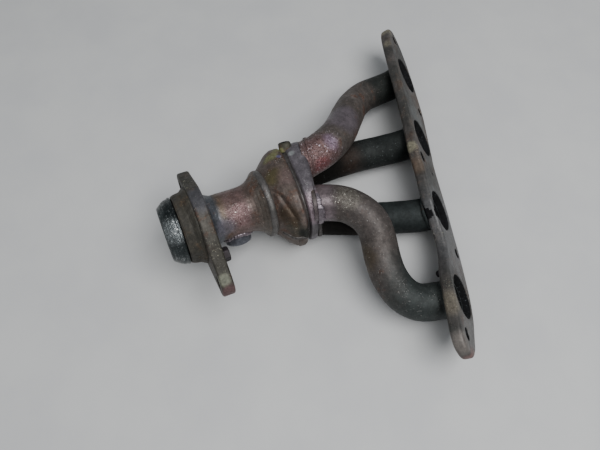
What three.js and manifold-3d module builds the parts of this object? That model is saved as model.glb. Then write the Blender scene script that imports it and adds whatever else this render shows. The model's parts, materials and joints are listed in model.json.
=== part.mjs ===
// Tubular four-into-one exhaust manifold, lying as it rests on a bench. Millimetres, +Z up.
// +Y runs along the head flange towards port 1, +X is the cylinder-head side, the outlet points to -X.
// Everything is laid out from the port line on the bench, then moved so the box's bottom centre is 0,0,0.
import * as THREE from "three";
import { mergeVertices } from "three/addons/utils/BufferGeometryUtils.js";
import Module from "manifold-3d";

const wasm = await Module();
wasm.setup();

// ---- driving dimensions ----
const GAP = 0.3; // clearance left between touching pieces
const PORT_PITCH = 84; // centre to centre of neighbouring ports
const PORT_HEIGHT = 25; // port centres above the bench
const FACE_LEAN = THREE.MathUtils.degToRad(34); // how far the head face leans back from upright
const PLATE_THICK = 10;
const PLATE_ROUND = 2.2; // rounding of the plate's rim
const PORT_RADIUS = 20; // mouth of a port on the head face
const PORT_FUNNEL = 4.6; // depth over which the mouth narrows to the tube
const HEAD_HOLE_RADIUS = 4.8;
const DOWEL_HOLE = { along: 125, up: -5, radius: 2 };

const TUBE_RADIUS = 15.6;
const TUBE_WALL = 1.8;
const TUBE_SIDES = 18;
const EXIT_DROP = THREE.MathUtils.degToRad(20); // tubes leave the plate this far below level
const EXIT_YAW = [20, 8, 0, 0].map(THREE.MathUtils.degToRad); // swing of each exit towards port 4
const EXIT_LENGTH = 19; // straight length of each tube from its port
const WELD_GAP = 0.6; // radial room between a tube and the bead drawn round it
const WELD_SIDES = 16;
const PORT_BEAD = [[GAP, 3], [1.8, 2.1], [3.8, 0.6]]; // [distance off the plate, thickness round the tube]

const AXIS_HEIGHT = 40.5; // collector axis above the bench
const AXIS_TURN = THREE.MathUtils.degToRad(15.6); // the collector axis swings this far from -X towards -Y
const OUTLET_TURN = THREE.MathUtils.degToRad(18.9); // the outlet pipe swings a little further
const OUTLET_RISE = THREE.MathUtils.degToRad(6); // and climbs this steeply
const FRONT = new THREE.Vector3(-120, -15, AXIS_HEIGHT); // collector axis where the tubes enter
const CAP_TURN = THREE.MathUtils.degToRad(6); // the cap faces the tubes more squarely than the outlet does
const TURN_DONE = 17; // distance over which the sections turn from the cap to the barrel
const COLLECTOR_SIDES = 28;
const SHEET = 2.4; // wall of the pressed collector shells
const SEAM_BEAD = 1.5; // radius of the beads along the side seams
const CAP_WALL = 3;
const CAP_END = 13.2;
const BARREL_START = 17.4;
const BARREL_END = 44;
const LEAN_FROM = 22; // from here to the barrel's end its sections lean into the outlet's climb
const BELL_START = 49;

const PIPE_RADIUS = 20.8;
const PIPE_WALL = 2;
const PIPE_END = 133.5;
const FLANGE_START = 98.5;
const FLANGE_THICK = 11;
const FLANGE_ROUND = 1.2; // rounding of the outlet flange's rim
const FLANGE_CORE = 37; // radius of the outlet flange round its bore
const EAR_RADIUS = 13;
const EAR_FAR = 41.5; // bolt centre on the port-1 side of the bore
const EAR_NEAR = -57.5; // bolt centre on the port-4 side, on a longer ear
const FLANGE_HOLE_RADIUS = 5.5;
const COLLAR_START = FLANGE_START + FLANGE_THICK + GAP;
const COLLAR_END = 122.8;
const RING_START = COLLAR_END + 0.4;
const RING_END = 136.6;

const BOSS_AT = 76.5; // sensor boss, along the axis
const BOSS_DOWN = THREE.MathUtils.degToRad(50); // below level, on the port-4 side
const BOSS_RADIUS = 12;
const BOSS_BORE = 8;
const BOSS_REACH = 27.5; // from the outlet axis to the face a sensor seats on
const NUT = { side: -31.5, up: -9, radius: 6.8, bore: 3.4, length: 7.5 };
// Heat-shield boss on the barrel's far shoulder; up and side are measured from the axis.
const SHIELD_BOSS = { distance: 13.5, side: 32.9, up: 27.2, radius: 5.6, height: 4, bore: 2.6, tilt: 43.8 };
const PEG = { along: 229, up: 6, radius: 3, length: 5.7 };

// ---- materials ----
function paint(color, roughness, metalness) {
  return new THREE.MeshStandardMaterial({ color, roughness, metalness });
}
const rustySteel = paint(0x5a4a42, 0.85, 0.4);
const darkTube = paint(0x4a4e4c, 0.8, 0.4);
const weldSteel = paint(0x77706f, 0.6, 0.6);
const ringSteel = paint(0x3d474d, 0.35, 0.9);

// ---- closed bodies from rings of points ----
function signedVolume(points, faces) {
  let sum = 0;
  for (let i = 0; i < faces.length; i += 3) {
    const [a, b, c] = [points[faces[i]], points[faces[i + 1]], points[faces[i + 2]]];
    sum += a.dot(b.clone().cross(c));
  }
  return sum / 6;
}

// Skins a row of rings with equal point counts. A loop joins the last ring to the first and encloses
// a tunnel; otherwise each end is closed by a fan round its centre.
function skin(rings, loop) {
  const sides = rings[0].length;
  const points = rings.flat();
  const faces = [];
  const spans = loop ? rings.length : rings.length - 1;
  for (let r = 0; r < spans; r++) {
    const here = r * sides;
    const next = ((r + 1) % rings.length) * sides;
    for (let k = 0; k < sides; k++) {
      const m = (k + 1) % sides;
      faces.push(here + k, here + m, next + m, here + k, next + m, next + k);
    }
  }
  if (!loop) {
    for (const first of [true, false]) {
      const start = first ? 0 : (rings.length - 1) * sides;
      const centre = new THREE.Vector3();
      for (let k = 0; k < sides; k++) centre.addScaledVector(points[start + k], 1 / sides);
      points.push(centre);
      for (let k = 0; k < sides; k++) {
        const m = (k + 1) % sides;
        const pair = first ? [start + m, start + k] : [start + k, start + m];
        faces.push(...pair, points.length - 1);
      }
    }
  }
  if (signedVolume(points, faces) < 0) faces.reverse();
  const geometry = new THREE.BufferGeometry().setFromPoints(points);
  geometry.setIndex(faces);
  return geometry;
}

// ---- manifold-3d in and out ----
function toSolid(geometry) {
  const bare = geometry.clone();
  bare.deleteAttribute("normal");
  bare.deleteAttribute("uv");
  const merged = mergeVertices(bare, 1e-4);
  const vertProperties = new Float32Array(merged.attributes.position.array);
  const triVerts = new Uint32Array(merged.index.array);
  return new wasm.Manifold(new wasm.Mesh({ numProp: 3, vertProperties, triVerts }));
}

function toGeometry(solid) {
  const mesh = solid.getMesh();
  const geometry = new THREE.BufferGeometry();
  geometry.setAttribute("position", new THREE.BufferAttribute(new Float32Array(mesh.vertProperties), 3));
  geometry.setIndex(new THREE.BufferAttribute(new Uint32Array(mesh.triVerts), 1));
  return geometry;
}

function cut(geometry, ...tools) {
  return toGeometry(tools.reduce((left, tool) => left.subtract(toSolid(tool)), toSolid(geometry)));
}

function rod(from, to, radius, sides) {
  const along = to.clone().sub(from);
  const geometry = new THREE.CylinderGeometry(radius, radius, along.length(), sides);
  const [builtAlong, wanted] = [new THREE.Vector3(0, 1, 0), along.clone().normalize()];
  geometry.applyQuaternion(new THREE.Quaternion().setFromUnitVectors(builtAlong, wanted));
  const middle = from.clone().addScaledVector(along, 0.5);
  return geometry.translate(middle.x, middle.y, middle.z);
}

const root = new THREE.Group();
root.name = "exhaust_manifold";
function add(name, geometry, material) {
  const mesh = new THREE.Mesh(geometry, material);
  mesh.name = name;
  root.add(mesh);
}

// ---- head flange ----
const faceNormal = new THREE.Vector3(Math.cos(FACE_LEAN), 0, Math.sin(FACE_LEAN));
const faceUp = new THREE.Vector3(-Math.sin(FACE_LEAN), 0, Math.cos(FACE_LEAN));
const alongFace = new THREE.Vector3(0, -1, 0);
const portCentre = (index) => new THREE.Vector3(0, (1.5 - index) * PORT_PITCH, PORT_HEIGHT);
// A point of the plate: distance from port 1 along it, height on the face, depth behind the face.
function onPlate(along, up, depth) {
  return portCentre(0)
    .addScaledVector(alongFace, along)
    .addScaledVector(faceUp, up)
    .addScaledVector(faceNormal, -depth);
}

// Rim of the plate, upper edge from the port-1 tip to the port-4 tip, then back along the lower edge.
const PLATE_RIM = [
  [-57, 12], [-50, 25], [-36, 31], [-18, 32], [0, 30.5], [20, 30.5], [42, 28], [62, 27], [84, 27],
  [102, 28.5], [118, 28.5], [133, 25], [150, 24], [168, 22.5], [184, 16], [200, 11.5], [216, 14],
  [234, 23], [252, 26.5], [270, 29], [288, 31.5], [300, 27], [305.5, 14],
  [300, 2], [287, -8], [271, -19], [252, -26.5], [230, -29.5], [206, -30.3], [182, -28.5], [160, -27.5],
  [138, -24], [112, -20.5], [94, -23], [70, -26], [40, -29.8], [14, -26.5], [-10, -21], [-32, -13],
  [-48, -3],
];
// Bolt holes as [along, up, stretch along the plate]; they alternate low, low, high, low, high.
const HEAD_HOLES = [[-42, 13, 1], [39, -19, 1], [115.5, 16.5, 1.15], [206, -19.5, 1], [287, 15.5, 1.15]];

const headHoles = HEAD_HOLES.map(([along, up, stretch]) => {
  const hole = new THREE.CylinderGeometry(HEAD_HOLE_RADIUS, HEAD_HOLE_RADIUS, 3 * PLATE_THICK, 12);
  const place = new THREE.Matrix4().makeBasis(alongFace, faceNormal, faceUp);
  hole.scale(stretch, 1, 1).applyMatrix4(place);
  const at = onPlate(along, up, PLATE_THICK / 2);
  return hole.translate(at.x, at.y, at.z);
});
const [dowelFront, dowelBack] = [-2, PLATE_THICK + 2].map((d) => onPlate(DOWEL_HOLE.along, DOWEL_HOLE.up, d));
const dowelHole = rod(dowelFront, dowelBack, DOWEL_HOLE.radius, 8);

function plateBody() {
  const rim = new THREE.SplineCurve([...PLATE_RIM, PLATE_RIM[0]].map(([x, y]) => new THREE.Vector2(x, y)));
  const shape = new THREE.Shape(rim.getPoints(60).slice(0, -1));
  const geometry = new THREE.ExtrudeGeometry(shape, {
    depth: PLATE_THICK - 2 * PLATE_ROUND,
    bevelEnabled: true,
    bevelThickness: PLATE_ROUND,
    bevelSize: PLATE_ROUND,
    bevelOffset: -PLATE_ROUND,
    bevelSegments: 1,
  });
  geometry.translate(0, 0, PLATE_ROUND);
  const inward = faceNormal.clone().negate();
  geometry.applyMatrix4(new THREE.Matrix4().makeBasis(alongFace, faceUp, inward));
  const start = portCentre(0);
  return geometry.translate(start.x, start.y, start.z);
}

// ---- collector sections ----
// A level direction turned from -X towards -Y, then raised.
function heading(turn, rise) {
  const flat = Math.cos(rise);
  return new THREE.Vector3(-Math.cos(turn) * flat, -Math.sin(turn) * flat, Math.sin(rise));
}

// Centre, sideways, upward and forward axes of the section at a distance along the collector axis. The
// axis is level up to the barrel's end and climbs from there on.
function section(distance) {
  const swing = THREE.MathUtils.clamp(distance / TURN_DONE, 0, 1);
  const lean = THREE.MathUtils.clamp((distance - LEAN_FROM) / (BARREL_END - LEAN_FROM), 0, 1);
  const level = THREE.MathUtils.lerp(CAP_TURN, AXIS_TURN, swing);
  const turn = THREE.MathUtils.lerp(level, OUTLET_TURN, lean);
  const ahead = heading(turn, OUTLET_RISE * lean);
  const side = new THREE.Vector3(-Math.sin(turn), Math.cos(turn), 0);
  const centre = FRONT.clone();
  centre.addScaledVector(heading(AXIS_TURN, 0), Math.min(distance, BARREL_END));
  centre.addScaledVector(heading(OUTLET_TURN, OUTLET_RISE), Math.max(distance - BARREL_END, 0));
  return { centre, side, up: side.clone().cross(ahead), ahead };
}

// One ring of a section: half width, half height, squareness (2 is an ellipse), and how far the
// lobe over runner 3, low on the port-4 side, swells past that.
const LOBE_ANGLE = 1.25 * Math.PI;
const LOBE_SPREAD = 0.6;
function sectionRing([distance, halfWide, halfTall, square, lobe = 0], sides = COLLECTOR_SIDES) {
  const { centre, side, up } = section(distance);
  const ring = [];
  for (let k = 0; k < sides; k++) {
    const angle = (2 * Math.PI * k) / sides;
    const [c, s] = [Math.cos(angle), Math.sin(angle)];
    const x = halfWide * Math.sign(c) * Math.abs(c) ** (2 / square);
    const y = halfTall * Math.sign(s) * Math.abs(s) ** (2 / square);
    const swell = 1 + lobe * Math.exp(-(((angle - LOBE_ANGLE) / LOBE_SPREAD) ** 2));
    ring.push(centre.clone().addScaledVector(side, x * swell).addScaledVector(up, y * swell));
  }
  return ring;
}

const CAP_OUTSIDE = [
  [0, 36, 28.5, 3, 0.04], [1.2, 39.5, 32, 3, 0.05],
  [5, 41.9, 34.6, 3, 0.06], [CAP_END, 41.4, 34.2, 2.8, 0.08],
];
const BARREL_OUTSIDE = [
  [BARREL_START, 40.5, 34, 2.7, 0.1], [20.5, 42, 35.6, 2.6, 0.13], [26, 41.8, 35.6, 2.5, 0.13],
  [32, 38.5, 34, 2.35, 0.09], [38, 33.8, 31.8, 2.15, 0.03], [BARREL_END, 30.2, 30.2, 2],
];
const thinner = (list, wall) => list.map(([d, w, h, p, lobe]) => [d, w - wall, h - wall, p, lobe]);

function capBody() {
  const inside = [
    [CAP_WALL, 37.5, 30.5, 3, 0.05], [5, 39.4, 32, 3, 0.06], [CAP_END, 38.8, 31.6, 2.8, 0.08],
  ];
  return skin([...CAP_OUTSIDE, ...inside.reverse()].map((row) => sectionRing(row)), false);
}

function shellBody(outside) {
  const inside = thinner(outside, SHEET).reverse();
  return skin([...outside, ...inside].map((row) => sectionRing(row)), true);
}

// Keeps what lies above (side 1) or below (side -1) the collector's seam plane.
function halfOf(geometry, side) {
  const big = 400;
  const box = new THREE.BoxGeometry(big, big, big);
  box.translate(FRONT.x, FRONT.y, AXIS_HEIGHT + side * (big / 2 + GAP / 2));
  return toGeometry(toSolid(geometry).intersect(toSolid(box)));
}

// ---- runners ----
// Centre lines after the straight exit, as [x, y, z], ending just inside the collector cap.
const RUNNER_LINES = [
  [[-36, 110.8, 20.4], [-53, 99.3, 25.5], [-66.3, 83, 31.5], [-75, 64.3, 40.5],
    [-88.5, 35.5, 51], [-100.5, 19.8, 55.8], [-109.5, 12, 57.4], [-118, 6.9, 57.6], [-130, 0, 57.7]],
  [[-42, 34.5, 18.2], [-69, 29.5, 18.7], [-92, 22.5, 21], [-108, 16.5, 22.6],
    [-130, 11, 23.8]],
  [[-30, -42.2, 18.2], [-66, -41.2, 18.3], [-94, -39.8, 21], [-108, -39, 22.6], [-130, -37.6, 23.4]],
  [[-37, -126.4, 20.4], [-50.8, -119.8, 25], [-60, -104.7, 28.5], [-64.4, -87.6, 34],
    [-66.4, -73.3, 40], [-69.2, -62.8, 45.2], [-75.3, -54.5, 50], [-84.8, -48, 54], [-94, -44.4, 56.8],
    [-106, -42.5, 58], [-130, -41.5, 58]],
];
const RUNNER_RINGS = [13, 8, 7, 15]; // sections along each runner
const exitWay = (yaw) => new THREE.Vector3(-Math.cos(yaw), -Math.sin(yaw), -Math.tan(EXIT_DROP)).normalize();
const curves = RUNNER_LINES.map((line, i) => {
  const way = exitWay(EXIT_YAW[i]);
  const exit = [0, EXIT_LENGTH / 2, EXIT_LENGTH].map((d) => portCentre(i).addScaledVector(way, d));
  const rest = line.map((p) => new THREE.Vector3(...p));
  return new THREE.CatmullRomCurve3([...exit, ...rest], false, "centripetal");
});

const platePlane = (depth) => ({ point: onPlate(0, 0, depth), normal: faceNormal.clone().negate() });
function capPlane(distance) {
  const { centre, ahead } = section(0);
  return { point: centre.clone().addScaledVector(ahead, distance), normal: ahead };
}
const TUBE_START = platePlane(PORT_FUNNEL + GAP);
const TUBE_STOP = capPlane(CAP_WALL + 2);

// Share of the curve's length at which it crosses a plane.
function crossing(curve, plane) {
  const side = (u) => curve.getPointAt(u).sub(plane.point).dot(plane.normal);
  let [low, high] = [0, 1];
  for (let i = 0; i < 40; i++) {
    const middle = (low + high) / 2;
    if (side(middle) < 0) low = middle;
    else high = middle;
  }
  return (low + high) / 2;
}

// A circle square to the axis, slid along the axis onto a plane when one is given.
function circle(point, axis, start, radius, sides, plane) {
  const across = start.clone().addScaledVector(axis, -start.dot(axis)).normalize();
  const over = axis.clone().cross(across);
  const ring = [];
  for (let k = 0; k < sides; k++) {
    const angle = (2 * Math.PI * k) / sides;
    const p = point.clone();
    p.addScaledVector(across, radius * Math.cos(angle)).addScaledVector(over, radius * Math.sin(angle));
    if (plane) {
      const slide = plane.point.clone().sub(p).dot(plane.normal) / axis.dot(plane.normal);
      p.addScaledVector(axis, slide);
    }
    ring.push(p);
  }
  return ring;
}

function sweepRings(curve, from, to, radius, rings, sides = TUBE_SIDES) {
  const [first, last] = [crossing(curve, from), crossing(curve, to)];
  const list = [];
  let start = new THREE.Vector3(0, 0, 1);
  const straight = EXIT_LENGTH / curve.getLength();
  const shares = [first];
  if (first < straight && straight < last) shares.push(straight);
  const onward = shares[shares.length - 1];
  for (let i = 1; i <= rings; i++) shares.push(onward + ((last - onward) * i) / rings);
  for (const u of shares) {
    const axis = curve.getTangentAt(u);
    start.addScaledVector(axis, -start.dot(axis)).normalize();
    const plane = u === first ? from : u === last ? to : null;
    list.push(circle(curve.getPointAt(u), axis, start, radius, sides, plane));
  }
  return list;
}

function tube(curve, rings) {
  const outside = sweepRings(curve, TUBE_START, TUBE_STOP, TUBE_RADIUS, rings);
  const inside = sweepRings(curve, TUBE_START, TUBE_STOP, TUBE_RADIUS - TUBE_WALL, rings);
  return skin([...outside, ...inside.reverse()], true);
}

// The room a tube needs through its neighbours, with the same sections as the tube.
function room(curve, index) {
  const from = platePlane(PORT_FUNNEL);
  return skin(sweepRings(curve, from, TUBE_STOP, TUBE_RADIUS + GAP, RUNNER_RINGS[index]), false);
}
// The funnel from the mouth on the head face down to the end of the tube.
function funnel(curve, index) {
  const inward = faceNormal.clone().negate();
  const mouth = circle(portCentre(index), inward, faceUp, PORT_RADIUS, TUBE_SIDES, platePlane(-1));
  const neck = [PORT_FUNNEL, PORT_FUNNEL + 1].map((depth) => {
    const u = crossing(curve, platePlane(depth));
    const axis = curve.getTangentAt(u);
    return circle(curve.getPointAt(u), axis, faceUp, TUBE_RADIUS + GAP, TUBE_SIDES, platePlane(depth));
  });
  return skin([mouth, ...neck], false);
}

// A weld bead round a straight stretch of axis, its rings parallel to the plane it sits on.
// The profile lists [distance off the plane, outer radius]; the bead lies on the plane's away side.
function bead(point, axis, plane, away, inner, profile, sides = WELD_SIDES) {
  const start = Math.abs(axis.z) > 0.9 ? new THREE.Vector3(1, 0, 0) : new THREE.Vector3(0, 0, 1);
  const ringAt = (distance, radius) => {
    const moved = plane.point.clone().addScaledVector(plane.normal, away * distance);
    return circle(point, axis, start, radius, sides, { point: moved, normal: plane.normal });
  };
  const outside = profile.map(([distance, radius]) => ringAt(distance, radius));
  const [lowest, highest] = [profile[0][0], profile[profile.length - 1][0]];
  return skin([...outside, ringAt(highest, inner), ringAt(lowest, inner)], true);
}

const rooms = curves.map(room);
let plate = plateBody();
plate = cut(plate, ...headHoles, dowelHole, ...rooms, ...curves.map(funnel));
add("head_flange", plate, rustySteel);
curves.forEach((curve, i) => add(`runner_${i + 1}`, tube(curve, RUNNER_RINGS[i]), darkTube));

const tubeBead = TUBE_RADIUS + WELD_GAP;
curves.forEach((curve, i) => {
  const back = platePlane(PLATE_THICK);
  const u = crossing(curve, platePlane(PLATE_THICK + 2));
  const profile = PORT_BEAD.map(([distance, thick]) => [distance, tubeBead + thick]);
  const ring = bead(curve.getPointAt(u), curve.getTangentAt(u), back, 1, tubeBead, profile);
  add(`port_weld_${i + 1}`, cut(ring, rooms[i]), weldSteel);
});

// ---- collector ----
add("collector_cap", cut(capBody(), ...rooms), rustySteel);
// Profiles of the beads round runners 1 to 4, as [distance off the cap, thickness round the tube].
const CAP_BEADS = [
  [[GAP, 1.3], [2.6, 1.1], [5, 0.4]],
  [[GAP, 0.9], [2.2, 0.8], [4, 0.3]],
  [[GAP, 0.7], [2.2, 0.6], [4, 0.2]],
  [[GAP, 1.6], [5.4, 1.5], [8, 0.5]],
];
curves.forEach((curve, i) => {
  const u = crossing(curve, capPlane(-2.5));
  const profile = CAP_BEADS[i].map(([distance, thick]) => [distance, tubeBead + thick]);
  const ring = bead(curve.getPointAt(u), curve.getTangentAt(u), capPlane(0), -1, tubeBead, profile);
  add(`cap_weld_${i + 1}`, ring, weldSteel);
});

const waist = [
  [CAP_END + GAP, 38.6, 31.8, 2.8, 0.08],
  [15.3, 38, 31.4, 2.75, 0.09],
  [BARREL_START - GAP, 38.4, 31.8, 2.7, 0.1],
];
add("cap_seam_weld", shellBody(waist), weldSteel);
const barrel = shellBody(BARREL_OUTSIDE);
add("collector_upper", halfOf(barrel, 1), rustySteel);
add("collector_lower", halfOf(barrel, -1), rustySteel);

// Beads along the barrel's two side seams, standing just clear of the shells.
for (const [name, hand] of [["near", -1], ["far", 1]]) {
  const rings = BARREL_OUTSIDE.slice(1, -1).map((row) => {
    const { side, ahead } = section(row[0]);
    const edge = sectionRing(row)[hand > 0 ? 0 : COLLECTOR_SIDES / 2];
    return circle(edge.addScaledVector(side, hand * (SEAM_BEAD + 2 * GAP)), ahead, side, SEAM_BEAD, 8, null);
  });
  add(`seam_weld_${name}`, skin(rings, false), weldSteel);
}

const ridge = [[BARREL_END + GAP, 31.2, 31.2, 2], [46.5, 32, 32, 2], [BELL_START - GAP, 30.6, 30.6, 2]];
add("ridge_weld", shellBody(ridge), weldSteel);

// ---- outlet ----
const { side: outletSide, up: outletUp, ahead: outletAhead } = section(PIPE_END);
const outletBack = outletAhead.clone().negate();
function onAxis(distance, sideways = 0, upward = 0) {
  const { centre, side, up } = section(distance);
  return centre.addScaledVector(side, sideways).addScaledVector(up, upward);
}

// A ring of round sections [distance, outer radius, inner radius] about the outlet axis.
function lathe(rows, sides) {
  const outside = rows.map(([distance, outer]) => sectionRing([distance, outer, outer, 2], sides));
  const inside = rows.map(([distance, , inner]) => sectionRing([distance, inner, inner, 2], sides));
  return skin([...outside, ...inside.reverse()], true);
}

const PIPE_ROWS = [
  [BELL_START, 29.8], [51.6, 27.4], [54.6, 24.3], [57.8, 22],
  [61, PIPE_RADIUS + 0.1], [PIPE_END, PIPE_RADIUS],
].map(([distance, radius]) => [distance, radius, radius - PIPE_WALL]);

const bossWay = new THREE.Vector3();
bossWay.addScaledVector(outletSide, -Math.cos(BOSS_DOWN)).addScaledVector(outletUp, -Math.sin(BOSS_DOWN));
const fromAxis = (reach) => onAxis(BOSS_AT).addScaledVector(bossWay, reach);
const pipeRoom = rod(onAxis(BELL_START), onAxis(FLANGE_START), PIPE_RADIUS + 2 * GAP, 48);
const sensorBore = rod(fromAxis(8), fromAxis(BOSS_REACH + 5), BOSS_BORE, 20);

add("outlet_pipe", cut(lathe(PIPE_ROWS, 26), sensorBore), darkTube);
const bossBlank = rod(fromAxis(14), fromAxis(BOSS_REACH), BOSS_RADIUS, 24);
add("sensor_boss", cut(bossBlank, pipeRoom, sensorBore), darkTube);
const bossPlane = { point: fromAxis(12), normal: bossWay };
const bossProfile = [[0, BOSS_RADIUS + 3.4], [9, BOSS_RADIUS + 3.2], [11.5, BOSS_RADIUS + 1.2]];
const bossBead = bead(fromAxis(12), bossWay, bossPlane, 1, BOSS_RADIUS + GAP, bossProfile, 24);
add("sensor_boss_weld", cut(bossBead, pipeRoom), weldSteel);

function flangeBody() {
  const lean = (reach) => Math.acos((FLANGE_CORE - EAR_RADIUS) / Math.abs(reach));
  const [far, near] = [lean(EAR_FAR), lean(EAR_NEAR)];
  const shape = new THREE.Shape();
  shape.absarc(0, 0, FLANGE_CORE, far, Math.PI - near, false);
  shape.absarc(EAR_NEAR, 0, EAR_RADIUS, Math.PI - near, Math.PI + near, false);
  shape.absarc(0, 0, FLANGE_CORE, Math.PI + near, 2 * Math.PI - far, false);
  shape.absarc(EAR_FAR, 0, EAR_RADIUS, -far, far, false);
  const geometry = new THREE.ExtrudeGeometry(shape, {
    depth: FLANGE_THICK - 2 * FLANGE_ROUND,
    bevelEnabled: true,
    bevelThickness: FLANGE_ROUND,
    bevelSize: FLANGE_ROUND,
    bevelOffset: -FLANGE_ROUND,
    bevelSegments: 1,
    curveSegments: 7,
  });
  geometry.translate(0, 0, FLANGE_ROUND - FLANGE_THICK / 2);
  geometry.applyMatrix4(new THREE.Matrix4().makeBasis(outletSide, outletUp, outletBack));
  const middle = onAxis(FLANGE_START + FLANGE_THICK / 2);
  geometry.translate(middle.x, middle.y, middle.z);
  const through = ([reach, radius, sides]) => {
    const front = onAxis(FLANGE_START - GAP, reach);
    return rod(front, onAxis(FLANGE_START + FLANGE_THICK + GAP, reach), radius, sides);
  };
  const bore = [0, PIPE_RADIUS + 2 * GAP, 36];
  const bolts = [EAR_FAR, EAR_NEAR].map((reach) => [reach, FLANGE_HOLE_RADIUS, 16]);
  return cut(geometry, ...[bore, ...bolts].map(through));
}
add("outlet_flange", flangeBody(), rustySteel);

// Turned pieces round the pipe, from outer radii at distances along the axis.
const pipeBead = PIPE_RADIUS + GAP;
const turned = (rows, sides) => lathe(rows.map(([distance, outer]) => [distance, outer, pipeBead]), sides);
const flangeBead = [[91.5, 21.8], [94.4, 22.8], [97, 24.4], [FLANGE_START - GAP, 25.2]];
add("outlet_flange_weld", turned(flangeBead, 28), weldSteel);
const collar = [
  [COLLAR_START, 34.4], [112.6, 33.6], [114.6, 31.6], [COLLAR_END - 1.4, 30.2], [COLLAR_END, 29],
];
add("outlet_collar", turned(collar, 26), rustySteel);
const seal = [
  [RING_START, 28.6], [124.4, 29.9], [127.4, 29.4], [130.6, 27.6], [133.8, 25.3], [RING_END, 22.8],
];
add("sealing_ring", turned(seal, 28), ringSteel);

// ---- small pieces ----
const nutAt = (distance) => onAxis(distance, NUT.side, NUT.up);
const nutEnd = FLANGE_START - 2 * GAP;
const nutBore = rod(nutAt(nutEnd - 2 * NUT.length), nutAt(nutEnd + NUT.length), NUT.bore, 14);
add("flange_nut", cut(rod(nutAt(nutEnd - NUT.length), nutAt(nutEnd), NUT.radius, 6), nutBore), darkTube);

const shield = section(SHIELD_BOSS.distance);
const shieldTilt = THREE.MathUtils.degToRad(SHIELD_BOSS.tilt);
const shieldWay = shield.side.clone().multiplyScalar(Math.cos(shieldTilt));
shieldWay.addScaledVector(shield.up, Math.sin(shieldTilt));
const shieldFoot = onAxis(SHIELD_BOSS.distance, SHIELD_BOSS.side, SHIELD_BOSS.up);
const onShield = (height) => shieldFoot.clone().addScaledVector(shieldWay, height);
const shieldBlank = rod(shieldFoot, onShield(SHIELD_BOSS.height), SHIELD_BOSS.radius, 20);
const [boreFloor, boreTop] = [onShield(SHIELD_BOSS.height / 2), onShield(2 * SHIELD_BOSS.height)];
const shieldBore = rod(boreFloor, boreTop, SHIELD_BOSS.bore, 12);
add("shield_boss", cut(shieldBlank, shieldBore), rustySteel);

const pegAt = (height) => onPlate(PEG.along, PEG.up, PLATE_THICK + height);
add("plate_peg", rod(pegAt(GAP), pegAt(GAP + PEG.length), PEG.radius, 12), darkTube);

// ---- bottom centre of the whole box to the origin ----
const box = new THREE.Box3().setFromObject(root);
const middle = box.getCenter(new THREE.Vector3());
root.children.forEach((mesh) => mesh.geometry.translate(-middle.x, -middle.y, -box.min.z));

export default root;
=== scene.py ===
# Exhaust manifold, lying on a pale floor. Metres in Blender; the layout below is in millimetres from
# the middle of the port line on the bench and is placed in the CAD frame by the head-face mount.
import json
import math

import bmesh
import bpy
import numpy as np
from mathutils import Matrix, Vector, noise


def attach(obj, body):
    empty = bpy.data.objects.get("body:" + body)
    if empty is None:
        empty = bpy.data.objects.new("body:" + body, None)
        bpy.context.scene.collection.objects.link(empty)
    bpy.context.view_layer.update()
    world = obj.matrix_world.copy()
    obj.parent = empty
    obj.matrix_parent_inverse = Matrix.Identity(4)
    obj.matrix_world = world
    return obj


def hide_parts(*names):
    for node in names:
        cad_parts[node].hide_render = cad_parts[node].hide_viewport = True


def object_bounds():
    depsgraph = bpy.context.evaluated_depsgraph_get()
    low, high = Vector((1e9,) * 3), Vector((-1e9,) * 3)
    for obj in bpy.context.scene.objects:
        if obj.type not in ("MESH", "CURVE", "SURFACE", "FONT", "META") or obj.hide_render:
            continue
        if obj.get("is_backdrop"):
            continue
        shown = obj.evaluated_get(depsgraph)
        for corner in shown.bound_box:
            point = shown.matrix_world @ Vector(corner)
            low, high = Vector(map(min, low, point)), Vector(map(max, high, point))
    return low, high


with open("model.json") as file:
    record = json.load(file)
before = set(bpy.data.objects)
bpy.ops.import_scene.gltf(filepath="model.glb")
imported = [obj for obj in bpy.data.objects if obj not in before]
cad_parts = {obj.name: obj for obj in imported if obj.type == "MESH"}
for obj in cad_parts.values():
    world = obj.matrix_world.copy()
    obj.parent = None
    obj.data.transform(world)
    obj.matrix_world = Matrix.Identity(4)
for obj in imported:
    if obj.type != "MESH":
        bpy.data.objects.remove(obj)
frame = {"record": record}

CAD_BOX = [list(v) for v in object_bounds()]
MM = 0.001

# ---- layout, as in the CAD model
MOUNTS = {m["name"]: m for m in frame["record"]["mounts"]}
PITCH = 84.0
PORT_HEIGHT = 25.0
HEAD_MOUNT = np.array([0.0, 66.0, PORT_HEIGHT])  # where the head-face mount lies on the port line
ORIGIN = np.array(MOUNTS["head_face"]["pos_m"]) - HEAD_MOUNT * MM
FACE_OUT = np.array(MOUNTS["head_face"]["axis"], float)
FACE_OUT /= np.linalg.norm(FACE_OUT)
FACE_ALONG = np.array([0.0, -1.0, 0.0])
FACE_UP = np.array([-FACE_OUT[2], 0.0, FACE_OUT[0]])
PLATE = 10.0
FUNNEL = 4.6
PORT_R = 20.0
TUBE_R = 15.6
WALL = 1.8
EXIT_DROP = math.radians(20)
EXIT_YAW = [math.radians(a) for a in (20, 8, 0, 0)]
EXIT_LENGTH = 19.0
AXIS_TURN = math.radians(15.6)
CAP_TURN = math.radians(6)
OUTLET_TURN = math.radians(18.9)
OUTLET_RISE = math.radians(6)
TURN_DONE = 17.0
LEAN_FROM = 22.0
BARREL_END = 44.0
FRONT = np.array([-120.0, -15.0, 40.5])
PIPE_R = 20.8
FLANGE_START = 98.5
FLANGE_THICK = 11.0
UP = np.array([0.0, 0.0, 1.0])


def port(i):
    return np.array([0.0, (1.5 - i) * PITCH, PORT_HEIGHT])


def on_plate(along, up, depth=0.0):
    return port(0) + FACE_ALONG * along + FACE_UP * up - FACE_OUT * depth


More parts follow.
